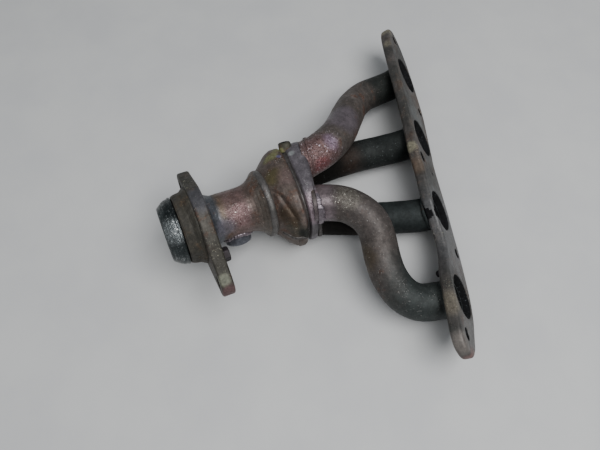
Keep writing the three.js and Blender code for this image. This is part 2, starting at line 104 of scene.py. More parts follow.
def heading(turn, rise):
    """A level direction turned from -X towards -Y, then raised."""
    flat = math.cos(rise)
    return np.array([-math.cos(turn) * flat, -math.sin(turn) * flat, math.sin(rise)])


def section(distance):
    """Centre, sideways, upward and forward axes at a distance along the collector axis."""
    swing = min(max(distance / TURN_DONE, 0.0), 1.0)
    lean = min(max((distance - LEAN_FROM) / (BARREL_END - LEAN_FROM), 0.0), 1.0)
    turn = CAP_TURN + (AXIS_TURN - CAP_TURN) * swing
    turn += (OUTLET_TURN - turn) * lean
    ahead = heading(turn, OUTLET_RISE * lean)
    side = np.array([-math.sin(turn), math.cos(turn), 0.0])
    centre = FRONT + heading(AXIS_TURN, 0.0) * min(distance, BARREL_END)
    centre = centre + heading(OUTLET_TURN, OUTLET_RISE) * max(distance - BARREL_END, 0.0)
    return centre, side, np.cross(side, ahead), ahead


def on_axis(distance, side=0.0, up=0.0):
    centre, across, over, _ = section(distance)
    return centre + across * side + over * up


_, OUT_SIDE, OUT_UP, AHEAD = section(100.0)


def place(p):
    """Layout millimetres to frame metres."""
    return np.asarray(p, float) * MM + ORIGIN


# ---- small tools
def unit(v):
    v = np.asarray(v, float)
    return v / np.linalg.norm(v)


norm = np.linalg.norm


def run_along(points):
    """Distance from the first point to each point of a line."""
    return np.concatenate([[0], np.cumsum(norm(np.diff(points, axis=0), axis=1))])


def turn(count):
    """Evenly spaced angles once round."""
    return np.linspace(0, 2 * math.pi, count, endpoint=False)


def spokes(angles, x, y):
    """Unit directions at angles round, from x towards y."""
    return np.outer(np.cos(angles), x) + np.outer(np.sin(angles), y)


def smooth(a, b, x):
    t = np.clip((np.asarray(x, float) - a) / (b - a), 0.0, 1.0)
    return t * t * (3 - 2 * t)


def rough(points, size, octaves=3, seed=0.0):
    """Fractal noise near -1..1 at each point; size is the feature size in mm."""
    flat = np.asarray(points, float).reshape(-1, 3) / size + seed * 7.31
    out = np.array([noise.fractal(Vector(p), 1.0, 2.0, octaves) for p in flat])
    return out.reshape(np.asarray(points).shape[:-1])


def grid_mesh(name, rings, loop=True, inner_from=None):
    """Rings (R, S, 3) in layout mm, closed round each ring; loop joins the last ring to the first,
    else both ends are filled. Faces from ring inner_from on take material slot 1."""
    rows, cols = rings.shape[:2]
    verts = place(rings.reshape(-1, 3))
    faces, slots = [], []
    for r in range(rows if loop else rows - 1):
        a, b = r * cols, ((r + 1) % rows) * cols
        for k in range(cols):
            m = (k + 1) % cols
            faces.append((a + k, a + m, b + m, b + k))
            slots.append(1 if inner_from is not None and inner_from <= r < rows - 1 else 0)
    if not loop:
        faces.append(tuple(range(cols))[::-1])
        faces.append(tuple(range((rows - 1) * cols, rows * cols)))
        slots += [0, 0]
    mesh = bpy.data.meshes.new(name)
    mesh.from_pydata([tuple(v) for v in verts], [], faces)
    for poly, slot in zip(mesh.polygons, slots):
        poly.material_index = slot
    tidy_normals(mesh)
    return mesh


def tidy_normals(mesh, angle=50):
    bm = bmesh.new()
    bm.from_mesh(mesh)
    bmesh.ops.recalc_face_normals(bm, faces=bm.faces)
    for edge in bm.edges:
        if len(edge.link_faces) == 2:
            edge.smooth = edge.calc_face_angle(0.0) < math.radians(angle)
    for face in bm.faces:
        face.smooth = True
    bm.to_mesh(mesh)
    bm.free()


def add(name, mesh, body, nodes, slot, *materials):
    obj = bpy.data.objects.new(name, mesh)
    bpy.context.scene.collection.objects.link(obj)
    for material in materials:
        mesh.materials.append(material)
    for vertex in mesh.vertices:
        vertex.co = [min(max(c, low), high) for c, low, high in zip(vertex.co, *CAD_BOX)]
    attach(obj, body)
    if nodes:
        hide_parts(*nodes)


def piece(name, rings, node, slot, *materials, loop=True, inner_from=None, body="manifold"):
    """A mesh from rings, added under a name in place of a CAD node."""
    mesh = grid_mesh(name, np.array(rings), loop, inner_from)
    add(name, mesh, body, [node] if node else [], slot, *materials)


# ---- materials
class Nodes:
    """A short hand for building one material's node tree."""

    def __init__(self, name):
        self.material = bpy.data.materials.new(name)
        self.material.use_nodes = True
        self.tree = self.material.node_tree
        self.tree.nodes.clear()
        self.out = self.new("ShaderNodeOutputMaterial")
        self.shader = self.new("ShaderNodeBsdfPrincipled")
        self.link(self.shader.outputs[0], self.out.inputs["Surface"])
        self.where = self.new("ShaderNodeTexCoord").outputs["Object"]

    def new(self, kind, **settings):
        node = self.tree.nodes.new(kind)
        for key, value in settings.items():
            setattr(node, key, value)
        return node

    def link(self, a, b):
        self.tree.links.new(a, b)

    def set(self, socket, value):
        if isinstance(value, bpy.types.NodeSocket):
            self.link(value, socket)
        else:
            socket.default_value = value

    def fill(self, node, **inputs):
        for key, value in inputs.items():
            self.set(node.inputs[key], value)

    def noise(self, size, detail=5.0, seed=0.0, rough=0.55, distort=0.0):
        """Noise whose features are about size mm across."""
        node = self.new("ShaderNodeTexNoise", noise_dimensions="4D")
        self.fill(
            node, Vector=self.where, W=seed, Scale=1 / (size * MM), Detail=detail, Roughness=rough,
            Distortion=distort,
        )
        return node.outputs["Fac"]

    def cells(self, size, seed=0.0):
        node = self.new("ShaderNodeTexVoronoi", voronoi_dimensions="4D")
        self.fill(node, Vector=self.where, W=seed, Scale=1 / (size * MM))
        return node.outputs["Distance"]

    def math(self, op, a, b=0.0, clamp=False):
        node = self.new("ShaderNodeMath", operation=op, use_clamp=clamp)
        self.set(node.inputs[0], a)
        self.set(node.inputs[1], b)
        return node.outputs[0]

    def times(self, a, b):
        return self.math("MULTIPLY", a, b)

    def plus(self, a, b, clamp=False):
        return self.math("ADD", a, b, clamp)

    def minus(self, a, b):
        return self.math("SUBTRACT", a, b)

    def ramp(self, value, low, high, to_low=0.0, to_high=1.0):
        node = self.new("ShaderNodeMapRange", interpolation_type="SMOOTHSTEP")
        self.set(node.inputs["Value"], value)
        limits = {"From Min": low, "From Max": high, "To Min": to_low, "To Max": to_high}
        self.fill(node, **limits)
        return node.outputs[0]

    def mix(self, share, a, b):
        node = self.new("ShaderNodeMix", data_type="RGBA", clamp_factor=True)
        self.set(node.inputs["Factor"], share)
        for socket, value in ((node.inputs[6], a), (node.inputs[7], b)):
            self.set(socket, value if isinstance(value, bpy.types.NodeSocket) else (*value, 1.0))
        return node.outputs[2]

    def near(self, centre, radius, soft, wobble):
        """1 inside radius mm of a layout point, fading over soft mm, with a ragged edge."""
        node = self.new("ShaderNodeVectorMath", operation="DISTANCE")
        self.link(self.where, node.inputs[0])
        node.inputs[1].default_value = tuple(place(centre))
        edge = self.plus(node.outputs["Value"], self.times(wobble, 0.9 * soft * MM))
        return self.ramp(
            edge, (radius - soft) * MM + 0.45 * soft * MM, radius * MM + 0.45 * soft * MM, 1.0, 0.0,
        )

    def along(self, start, way, wobble=None, swing=0.0):
        """Distance in mm from a layout point along a direction."""
        node = self.new("ShaderNodeVectorMath", operation="DOT_PRODUCT")
        self.link(self.where, node.inputs[0])
        node.inputs[1].default_value = tuple(unit(way) / MM)
        offset = float(np.dot(place(start), unit(way))) / MM
        value = self.minus(node.outputs["Value"], offset)
        if wobble is not None:
            value = self.plus(value, self.times(self.minus(wobble, 0.5), swing))
        return value


RUST_BROWN = ((0.075, 0.032, 0.018), (0.14, 0.062, 0.034))


def steel(name, tones, rust=RUST_BROWN, rust_share=0.35, speck=None, rough_range=(0.5, 0.8), metal=0.5,
          bump=0.35, pits=0.5, patches=(), grades=None, grain=1.6, seed=0.0, pits_and_glints=(), spec=0.5):
    """Weathered steel. tones are dark and light base colours; patches are
    (centre, radius, soft, colour, strength, roughness); grades are (start, way, [(mm, colour)...]);
    pitted zones are (centre, radius, soft, dark colour, glint colour, amount): the dark colour fills
    the pits and the glint colour is painted highlight, bright specks that stand in for glints of light."""
    n = Nodes(name)
    big = n.noise(34, 5, seed + 1.3, 0.6, 0.4)
    mid = n.noise(9, 6, seed + 4.1, 0.62, 0.3)
    fine = n.noise(grain, 6, seed + 7.7, 0.68)
    grit = n.noise(0.55, 3, seed + 9.2, 0.6)
    colour = n.mix(n.ramp(big, 0.34, 0.66), tones[0], tones[1])
    if grades:
        start, way, stops = grades
        travel = n.along(start, way, mid, 7.0)
        for (a, _), (b, tint) in zip(stops, stops[1:]):
            colour = n.mix(n.times(n.ramp(travel, a, b), 0.9), colour, tint) if a != b else colour
    if rust:
        spread = n.plus(n.times(big, 0.35), n.times(mid, 0.65))
        edge = 0.62 - 0.3 * rust_share
        mask = n.ramp(spread, edge, edge + 0.12)
        colour = n.mix(n.times(mask, 0.75), colour, n.mix(n.ramp(fine, 0.35, 0.65), rust[0], rust[1]))
    rough_value = n.ramp(mid, 0.3, 0.7, rough_range[0], rough_range[1])
    for centre, radius, soft, tint, strength, shine in patches:
        mask = n.times(n.near(centre, radius, soft, mid), strength)
        colour = n.mix(mask, colour, tint)
        if shine is not None:
            keep = n.minus(1.0, mask)
            rough_value = n.plus(n.times(rough_value, keep), n.times(mask, shine))
    shade = n.ramp(fine, 0.3, 0.7, 0.74, 1.24)
    shade = n.times(shade, n.ramp(n.noise(4.5, 4, seed + 5.9, 0.6), 0.3, 0.7, 0.76, 1.2))
    tinted = n.new("ShaderNodeVectorMath", operation="SCALE")
    n.link(colour, tinted.inputs[0])
    n.link(shade, tinted.inputs["Scale"])
    colour = tinted.outputs[0]
    hollow = n.ramp(n.cells(3.4, seed + 2.0), 0.0, 0.32, 1.0, 0.0)
    hollow = n.times(hollow, n.ramp(mid, 0.5, 0.62))
    colour = n.mix(n.times(hollow, 0.7 * pits), colour, tuple(0.35 * c for c in tones[0]))
    if speck:
        tint, share = speck
        dots = n.ramp(n.noise(1.1, 2, seed + 12.4), 0.66 - 0.08 * share, 0.72)
        dots = n.times(dots, n.ramp(mid, 0.42, 0.6))
        colour = n.mix(n.times(dots, 0.85), colour, tint)
        rough_value = n.minus(rough_value, n.times(dots, 0.25))
    scars = None
    for centre, radius, soft, dark, painted_glint, amount in pits_and_glints:
        zone = n.times(n.near(centre, radius, soft, mid), amount)
        chips = n.noise(1.5, 3, seed + 15.1, 0.7, 0.6)
        holes = n.times(n.ramp(chips, 0.44, 0.36), zone)
        # painted highlight: bright specks of the glint colour stand in for glints of light
        painted_glints = n.times(n.ramp(chips, 0.6, 0.68), zone)
        colour = n.mix(holes, colour, dark)
        colour = n.mix(painted_glints, colour, painted_glint)
        rough_value = n.minus(rough_value, n.times(painted_glints, 0.3))
        depth = n.times(n.times(chips, zone), 2.2)
        scars = depth if scars is None else n.plus(scars, depth)
    n.link(colour, n.shader.inputs["Base Color"])
    n.link(n.plus(rough_value, n.ramp(grit, 0.3, 0.7, -0.06, 0.06), True), n.shader.inputs["Roughness"])
    n.shader.inputs["Metallic"].default_value = metal
    n.shader.inputs["Specular IOR Level"].default_value = spec
    height = n.plus(n.times(mid, 0.9), n.times(fine, 0.42))
    height = n.plus(height, n.times(grit, 0.16))
    height = n.minus(height, n.times(hollow, 0.9 * pits))
    if scars is not None:
        height = n.plus(height, scars)
    relief = n.new("ShaderNodeBump")
    relief.inputs["Strength"].default_value = bump
    relief.inputs["Distance"].default_value = 0.9 * MM
    n.link(height, relief.inputs["Height"])
    n.link(relief.outputs[0], n.shader.inputs["Normal"])
    return n.material


# Near-black lining of the bores: soot in the exhaust passages, deepened to near black as painted shade
# inside them; in bolt holes and nut bores the near black is painted shade only.
SOOT_AND_HOLE_SHADE = steel(
    "soot_and_hole_shade", ((0.003, 0.0032, 0.0035), (0.009, 0.009, 0.01)), None, speck=((0.11, 0.12, 0.13), 0.8),
    rough_range=(0.8, 0.95), metal=0.0, bump=0.9, pits=0.3, grain=2.2, seed=31, spec=0.12,
)

# ---- runners
RUNNERS = [
    [(-36, 110.8, 20.4), (-53, 99.3, 25.5), (-66.3, 83, 31.5), (-75, 64.3, 40.5), (-88.5, 35.5, 51),
     (-100.5, 19.8, 55.8), (-109.5, 12, 57.4), (-118, 6.9, 57.6), (-130, 0, 57.7)],
    [(-42, 34.5, 18.2), (-69, 29.5, 18.7), (-92, 22.5, 21), (-108, 16.5, 22.6), (-130, 11, 23.8)],
    [(-30, -42.2, 18.2), (-66, -41.2, 18.3), (-94, -39.8, 21), (-108, -39, 22.6), (-130, -37.6, 23.4)],
    [(-37, -126.4, 20.4), (-50.8, -119.8, 25), (-60, -104.7, 28.5), (-64.4, -87.6, 34), (-66.4, -73.3, 40),
     (-69.2, -62.8, 45.2), (-75.3, -54.5, 50), (-84.8, -48, 54), (-94, -44.4, 56.8), (-106, -42.5, 58),
     (-130, -41.5, 58)],
]


def catmull(points, per=40):
    """Centripetal Catmull-Rom through the points, sampled finely."""
    pts = [2 * points[0] - points[1]] + list(points) + [2 * points[-1] - points[-2]]
    out = []
    for p0, p1, p2, p3 in zip(pts, pts[1:], pts[2:], pts[3:]):
        d0, d1, d2 = (max(norm(b - a), 1e-6) ** 0.5 for a, b in ((p0, p1), (p1, p2), (p2, p3)))
        m1 = ((p1 - p0) / d0 - (p2 - p0) / (d0 + d1) + (p2 - p1) / d1) * d1
        m2 = ((p2 - p1) / d1 - (p3 - p1) / (d1 + d2) + (p3 - p2) / d2) * d1
        for i in range(per):
            t = i / per
            out.append((2 * t**3 - 3 * t**2 + 1) * p1 + (t**3 - 2 * t**2 + t) * m1
                       + (3 * t**2 - 2 * t**3) * p2 + (t**3 - t**2) * m2)
    out.append(points[-1])
    return np.array(out)


def even(points, step):
    """Points at even arc length, gently smoothed, as the bends of a drawn tube are."""
    for _ in range(3):
        run = run_along(points)
        count = max(int(run[-1] / step), 4)
        want = np.linspace(0, run[-1], count + 1)
        points = np.stack([np.interp(want, run, points[:, k]) for k in range(3)], 1)
        points[1:-1] = 0.25 * points[:-2] + 0.5 * points[1:-1] + 0.25 * points[2:]
    return points


def runner_path(i, step=1.5):
    yaw = EXIT_YAW[i]
    way = unit([-math.cos(yaw), -math.sin(yaw), -math.tan(EXIT_DROP)])
    exit_points = [port(i) + way * d for d in (0, EXIT_LENGTH / 2, EXIT_LENGTH)]
    return even(catmull(exit_points + [np.array(p, float) for p in RUNNERS[i]]), step)


def frames(path):
    tangents = np.gradient(path, axis=0)
    tangents /= norm(tangents, axis=1)[:, None]
    start = UP.copy()
    across, over = [], []
    for t in tangents:
        start = unit(start - t * start.dot(t))
        across.append(start)
        over.append(np.cross(t, start))
    return tangents, np.array(across), np.array(over)


def sweep(path, radius, sides, start_plane=None, end_plane=None):
    """Rings round a path. radius is (rings,) or (rings, sides). The ends are slid onto planes."""
    tangents, across, over = frames(path)
    angles = turn(sides)
    radius = np.broadcast_to(np.asarray(radius, float).reshape(len(path), -1), (len(path), sides))
    rings = (path[:, None, :] + across[:, None, :] * (np.cos(angles) * radius)[..., None]
             + over[:, None, :] * (np.sin(angles) * radius)[..., None])
    for plane, order in ((start_plane, 1), (end_plane, -1)):
        if plane is None:
            continue
        point, normal = plane
        fade = np.clip(1 - run_along(path[::order])[::order] / (1.5 * TUBE_R), 0, 1)
        lean = (rings - path[:, None, :]) @ normal / (tangents @ normal)[:, None]
        rings = rings - tangents[:, None, :] * (lean * fade[:, None])[..., None]
    return rings


def clip_path(path, start_plane, end_plane):
    side_a = (path - start_plane[0]) @ start_plane[1]
    side_b = (path - end_plane[0]) @ end_plane[1]
    return path[(side_a > 0) & (side_b < 0)]


CAP_FRONT, CAP_SIDE, _, CAP_AHEAD = section(0)
TUBE_FROM = (on_plate(0, 0, FUNNEL + 0.4), -FACE_OUT)
TUBE_TO = (CAP_FRONT + CAP_AHEAD * 6.0, CAP_AHEAD)
PATHS = [clip_path(runner_path(i), TUBE_FROM, TUBE_TO) for i in range(4)]

# how the outside radius changes along each tube: (share of length, radius)
SWELL = [
    [(0, 15.9), (0.1, 15.5), (0.3, 15.5), (0.55, 16.2), (0.8, 17.0), (1, 17.2)],
    [(0, 17.0), (0.07, 15.8), (0.2, 15.4), (1, 15.6)],
    [(0, 16.6), (0.07, 15.7), (0.2, 15.4), (1, 15.6)],
    [(0, 16.6), (0.12, 16.3), (0.25, 15.9), (0.6, 15.6), (1, 15.9)],
]


def runner(i, material):
    path = PATHS[i]
    share = np.linspace(0, 1, len(path))
    base = np.interp(share, *zip(*SWELL[i]))
    sides = 80
    plain = sweep(path, base, sides)
    dents = 0.22 * rough(plain, 26, 2, i) + 0.07 * rough(plain, 5, 2, i + 9)
    outside = sweep(path, base[:, None] + dents, sides, TUBE_FROM, TUBE_TO)
    inside = sweep(path[::2], base[::2, None] - WALL + dents[::2], sides, TUBE_FROM, TUBE_TO)
    inside[-1] += (outside[-1].mean(0) - inside[-1].mean(0))
    rings = np.concatenate([outside, inside[::-1]])
    piece(
        f"runner_{i + 1}_tube", rings, f"runner_{i + 1}", "tube_steel", material, SOOT_AND_HOLE_SHADE,
        inner_from=len(outside),
    )


P1, P2, P3, P4 = PATHS


def part_way(path, share):
    return path[int(len(path) * share)]


WARM = ((0.066, 0.054, 0.047), (0.115, 0.098, 0.089))
TOWARDS_CAP = np.array([-7.0, -9.0, -2.0])  # moves runner 1's pink zone down its near side


def pink_zone(share, up, near):
    return part_way(P1, share) + UP * up + TOWARDS_CAP - OUT_SIDE * near


TUBE_MATERIALS = [
    steel(
        "runner_1_metal", WARM, RUST_BROWN, 0.3, ((0.4, 0.36, 0.36), 0.35), (0.42, 0.68), 0.45, 0.5, 0.6,
        patches=[
            # darker near the head flange: soot, deepened with painted shade where the runner meets the plate
            (P1[6], 60, 30, (0.015, 0.019, 0.017), 0.95, 0.68),
            # painted highlight: a lighter violet patch on the runner's top, partly violet tint
            (part_way(P1, 0.66) + UP * 15, 24, 13, (0.15, 0.125, 0.15), 0.6, 0.34),
            (pink_zone(0.86, 10, 6), 27, 14, (0.16, 0.088, 0.085), 0.8, 0.36),
            (pink_zone(0.86, 8, 13), 11, 6, (0.26, 0.085, 0.09), 0.6, 0.25),
            # painted highlight: a pale violet, glossy patch on the top, partly violet tint
            (pink_zone(0.78, 15, 4), 11, 6, (0.24, 0.18, 0.27), 0.6, 0.3),
            (part_way(P1, 0.5) + UP * 12, 3.6, 2, (0.3, 0.24, 0.1), 0.7, 0.5),
        ],
        # pits with near-white painted glints
        pits_and_glints=[(pink_zone(0.85, 12, 4), 30, 10, (0.05, 0.02, 0.022), (0.7, 0.6, 0.66), 1.0)], seed=1,
    ),
    steel(
        "runner_2_metal", ((0.011, 0.0135, 0.013), (0.025, 0.028, 0.027)), RUST_BROWN, 0.1,
        ((0.16, 0.18, 0.18), 0.4), (0.55, 0.75), 0.2, 0.4, 0.5,
        patches=[
            (P2[-20], 45, 22, (0.03, 0.017, 0.012), 0.8, None),
            # painted shade: near black where runner 2 runs under runner 1
            (part_way(P2, 0.82), 34, 18, (0.004, 0.004, 0.0035), 0.95, 0.85),
        ],
        seed=2, spec=0.2,
    ),
    steel(
        "runner_3_metal", ((0.011, 0.014, 0.0142), (0.024, 0.029, 0.029)), RUST_BROWN, 0.08, None,
        (0.55, 0.75), 0.2, 0.3, 0.35,
        patches=[
            (P3[-20], 42, 22, (0.035, 0.022, 0.016), 0.7, None),
            # painted shade: near black where runner 3 runs under runner 4
            (part_way(P3, 0.82), 34, 18, (0.005, 0.0045, 0.004), 0.95, 0.85),
        ],
        seed=3, spec=0.2,
    ),
    steel(
        "runner_4_metal", ((0.05, 0.04, 0.035), (0.088, 0.075, 0.069)), RUST_BROWN, 0.26,
        ((0.36, 0.35, 0.33), 0.45), (0.44, 0.7), 0.4, 0.5, 0.8,
        patches=[
            (P4[4], 76, 36, (0.026, 0.033, 0.032), 0.93, 0.6),
            (part_way(P4, 0.7) + UP * 14, 30, 15, (0.068, 0.057, 0.053), 0.7, 0.5),
            (part_way(P4, 0.5) - OUT_SIDE * 3 - (14, 0, 0), 18, 10, (0.062, 0.045, 0.026), 0.75, None),
            # painted highlight: a lighter, glossy patch on the top near the collector
            (P4[-22] + UP * 14, 14, 8, (0.12, 0.11, 0.09), 0.6, 0.36),
            (P4[-8] - UP * 2, 21, 5, (0.15, 0.115, 0.13), 0.85, 0.32),
        ],
        # pits with painted glints; the first zone lies on the top near the collector, under the painted
        # highlight
        pits_and_glints=[
            (P4[-20] + UP * 12, 17, 8, (0.05, 0.035, 0.03), (0.6, 0.58, 0.5), 0.8),
            (part_way(P4, 0.3) + UP * 10, 11, 7, (0.02, 0.018, 0.016), (0.3, 0.32, 0.3), 0.6),
        ],
        seed=4,
    ),
]
for index, material in enumerate(TUBE_MATERIALS):
    runner(index, material)

# ---- weld beads
WELD = steel(
    "weld_dull", ((0.06, 0.055, 0.052), (0.12, 0.11, 0.108)), RUST_BROWN, 0.25, ((0.4, 0.38, 0.38), 0.5),
    (0.4, 0.62), 0.6, 0.5, 0.5, seed=11,
)
# A lighter, pink weld for the beads that face the light: pink heat tint with painted highlight.
WELD_PINK_PAINTED_HIGHLIGHT = steel(
    "weld_pink_painted_highlight", ((0.13, 0.11, 0.125), (0.25, 0.21, 0.235)), ((0.2, 0.07, 0.08), (0.26, 0.12, 0.12)), 0.3,
    ((0.6, 0.55, 0.58), 0.9), (0.25, 0.48), 0.7, 0.6, 0.5, grain=1.2, seed=12,
)


BEAD_SIDES = 240


def lumpy(way, octaves):
    """Fractal noise of a direction, for the uneven size of a bead."""
    return noise.fractal(Vector(way), 1.0, 2.0, octaves)


def fillet(name, centre, axis, plane, away, tube_radius, width, height, node, material, seed=0.0, ripples=34,
           ragged=0.25, growth=0.0):
    """A fillet bead in the corner between a tube and the plane it meets, with the ripples of each pass."""
    point, normal = plane
    normal = unit(normal) * away
    axis = unit(axis)
    axis = axis if axis.dot(normal) > 0 else -axis
    first = unit(np.cross(axis, UP if abs(axis[2]) < 0.9 else np.array([1.0, 0, 0])))
    second = np.cross(axis, first)
    rings = []
    for angle in turn(BEAD_SIDES):
        radial = first * math.cos(angle) + second * math.sin(angle)
        foot = centre + radial * tube_radius
        foot = foot + axis * ((point - foot).dot(normal) / axis.dot(normal))
        wave = abs(math.sin(0.5 * ripples * angle + 0.4 * math.sin(3 * angle + seed)))
        lump = lumpy(radial * 2.1 + seed, 3)
        low = max(0.0, unit(-CAP_SIDE * 0.9 + UP * 0.35).dot(radial)) ** 2
        blob = lumpy(radial * 5.3 + seed * 2, 2)
        grow = (1 + 0.1 * (wave - 0.6) + ragged * (0.7 * lump + 0.5 * blob)) * (1 + growth * low)
        outward = unit(radial - normal * radial.dot(normal) * 0.6)
        ring = []
        for t in np.linspace(0, 1, 11):
            bulge = 1 + 0.28 * math.sin(math.pi * t)
            w = width * grow * math.cos(t * math.pi / 2) * bulge ** 0.5
            h = height * grow * math.sin(t * math.pi / 2) * bulge ** 0.5
            ring.append(foot + outward * w + axis * h + normal * 0.02)
        ring.append(foot - radial * 0.6 + axis * height * 0.7)
        ring.append(foot - radial * 0.6)
        rings.append(ring)
    piece(name, rings, node, "weld", material)


BACK = (on_plate(0, 0, PLATE), -FACE_OUT)
for i, path in enumerate(PATHS):
    at = int(np.argmin(np.abs((path - BACK[0]) @ BACK[1])))
    way = unit(path[at + 2] - path[at])
    fillet(
        f"port_bead_{i + 1}", path[at], way, BACK, 1, np.interp(at / len(path), *zip(*SWELL[i])), 1.9, 2.6,
        f"port_weld_{i + 1}", TUBE_MATERIALS[i], seed=i * 3.1, ripples=26, ragged=0.3,
    )
CAP_PLANE = (CAP_FRONT, CAP_AHEAD)
# Beads where the runners enter the cap: width, height, raggedness, extra growth low on the near side.
CAP_SINK = (0.0, 0.0, 0.0, 2.2)
CAP_BEADS = [(1.2, 2.6, 0.35, 0.3), (1.8, 3.0, 0.3, 0.0), (1.8, 3.0, 0.3, 0.0), (1.0, 1.9, 0.6, 2.4)]
for i, path in enumerate(PATHS):
    at = int(np.argmin(np.abs((path - CAP_PLANE[0]) @ CAP_PLANE[1])))
    way = unit(path[at - 3] - path[at])
    width, height, ragged, growth = CAP_BEADS[i]
    tube = np.interp(at / len(path), *zip(*SWELL[i])) - 0.2
    plane = (CAP_FRONT + CAP_AHEAD * CAP_SINK[i], CAP_AHEAD)
    fillet(f"cap_bead_{i + 1}", path[at], way, plane, -1, tube, width, height, f"cap_weld_{i + 1}",
           (TUBE_MATERIALS[0], WELD, WELD, WELD_PINK_PAINTED_HIGHLIGHT)[i], seed=20 + i * 2.3, ragged=ragged, growth=growth,
           ripples=(22, 22, 22, 0)[i])

# ---- collector
LOBE_ANGLE = 1.25 * math.pi
LOBE_SPREAD = 0.6


def oval(angle, wide, tall, square, lobe=0.0):
    c, s = np.cos(angle), np.sin(angle)
    x = wide * np.sign(c) * np.abs(c) ** (2 / square)
    y = tall * np.sign(s) * np.abs(s) ** (2 / square)
    swell = 1 + lobe * np.exp(-(((angle - LOBE_ANGLE) / LOBE_SPREAD) ** 2))
    return x * swell, y * swell


def oval_ring(distance, x, y):
    centre, side, up, _ = section(distance)
    return centre + np.outer(x, side) + np.outer(y, up)


def table(rows, distance):
    """Each column of a table of [distance, ...] rows, blended smoothly at a distance."""
    cols = list(zip(*rows))
    return [float(np.interp(distance, cols[0], c)) for c in cols[1:]]


SIDES = 220
ANGLES = turn(SIDES)


def outward_of(rings, stations):
    """Unit directions from the collector axis to each point of the rings."""
    radial = rings - np.array([section(d)[0] for d in stations])[:, None, :]
    return radial / norm(radial, axis=2)[..., None]


def shell(name, node, slot, material, outer, start, end, step, wall=2.4, dent=0.25, seed=0.0):
    """A lofted shell: outer(distance) gives the section's x and y, thickened inwards by wall."""
    stations = np.arange(start, end + 0.01, step)
    rings = np.array([oval_ring(d, *outer(d)) for d in stations])
    radial = outward_of(rings, stations)
    bumps = dent * rough(rings, 13, 3, seed) + 0.09 * rough(rings, 3, 2, seed + 5)
    rings = rings + radial * bumps[..., None]
    inner = (rings - radial * wall)[::-1][::3]
    piece(name, np.concatenate([rings, inner]), node, slot, material, SOOT_AND_HOLE_SHADE, inner_from=len(rings))


CAP_ROWS = [
    (0, 34, 26.5, 3, 0.03), (0.5, 37.5, 30, 3, 0.04), (1.6, 40, 32.6, 3, 0.05), (3.4, 41.6, 34.2, 3, 0.06),
    (6, 42, 34.8, 2.95, 0.07), (11, 42, 34.7, 2.85, 0.08), (13.4, 41.6, 34.3, 2.8, 0.08),
    (15, 40, 32.9, 2.8, 0.08),
]
CAP_STOP = 15.0
BARREL_ROWS = [
    (18.2, 40.4, 34, 2.7, 0.1), (19.4, 41.8, 35.3, 2.65, 0.12), (21.5, 42.2, 35.8, 2.6, 0.13),
    (26, 41.9, 35.5, 2.5, 0.13), (33, 38.6, 33.8, 2.35, 0.1), (38, 35.0, 31.8, 2.2, 0.05),
    (44, 29.4, 29.4, 2, 0),
]
BARREL_FROM = 18.2
# The fold between the upper lobe and the near lobe: distance along the axis against angle from the far side.
FOLD_ANGLE = [math.radians(a) for a in (95, 105, 112, 130, 146, 170, 190)]
FOLD_AT = [43.0, 39.5, 34.5, 31.0, 27.0, 24.0, 23.0]


def cap_outer(d):
    wide, tall, square, lobe = table(CAP_ROWS, d)
    return oval(ANGLES, wide, tall, square, lobe)


def waist_outer(d):
    dip = 1 - 0.04 * math.sin(math.pi * min(max((d - CAP_STOP + 0.4) / 4.0, 0), 1))
    return oval(ANGLES, 39.8 * dip, 33.2 * dip, 2.75, 0.08)


def barrel_outer(d):
    """The oval shell, with the upper lobe's raised band ending in a fold above the near lobe."""
    wide, tall, square, lobe = table(BARREL_ROWS, d)
    x, y = oval(ANGLES, wide, tall, square, lobe)
    fold = np.interp(ANGLES, FOLD_ANGLE, FOLD_AT)
    degrees = np.degrees(ANGLES)
    share = smooth(92, 108, degrees) * (1 - smooth(176, 196, degrees))
    past = d - fold
    band = 1.7 * (1 - smooth(-2.0, 2.4, past)) * smooth(18.6, 20.5, d)
    crease = -0.75 * np.exp(-(((past - 2.0) / 2.1) ** 2))
    swell = 1.6 * np.exp(-(((past - 7.5) / 4.2) ** 2)) * (1 - smooth(39, 43, d))
    shoulder = 1.4 * (1 - share) * np.exp(-(((d - 30) / 6.5) ** 2)) * (1 - smooth(3.0, 3.4, ANGLES))
    hump = 1.2 * np.exp(-(((ANGLES - 3.85) / 0.45) ** 2)) * np.exp(-(((d - 27) / 8) ** 2))
    line = -0.8 * np.exp(-(((d - 27) / 0.5) ** 2)) * smooth(3.2, 3.3, ANGLES)
    scale = 1 + (share * (band + crease + swell) + shoulder + hump + line) / np.hypot(x, y)
    return x * scale, y * scale


def spot(distance, angle, out=0.0):
    """A layout point on the barrel's or cap's skin."""
    k = int(angle / (2 * math.pi) * SIDES) % SIDES
    x, y = cap_outer(distance) if distance < CAP_STOP else barrel_outer(min(distance, BARREL_END))
    grow = 1 + out / math.hypot(x[k], y[k])
    return oval_ring(distance, x[k : k + 1] * grow, y[k : k + 1] * grow)[0]


def on_skin(distance, degrees):
    return spot(distance, math.radians(degrees))


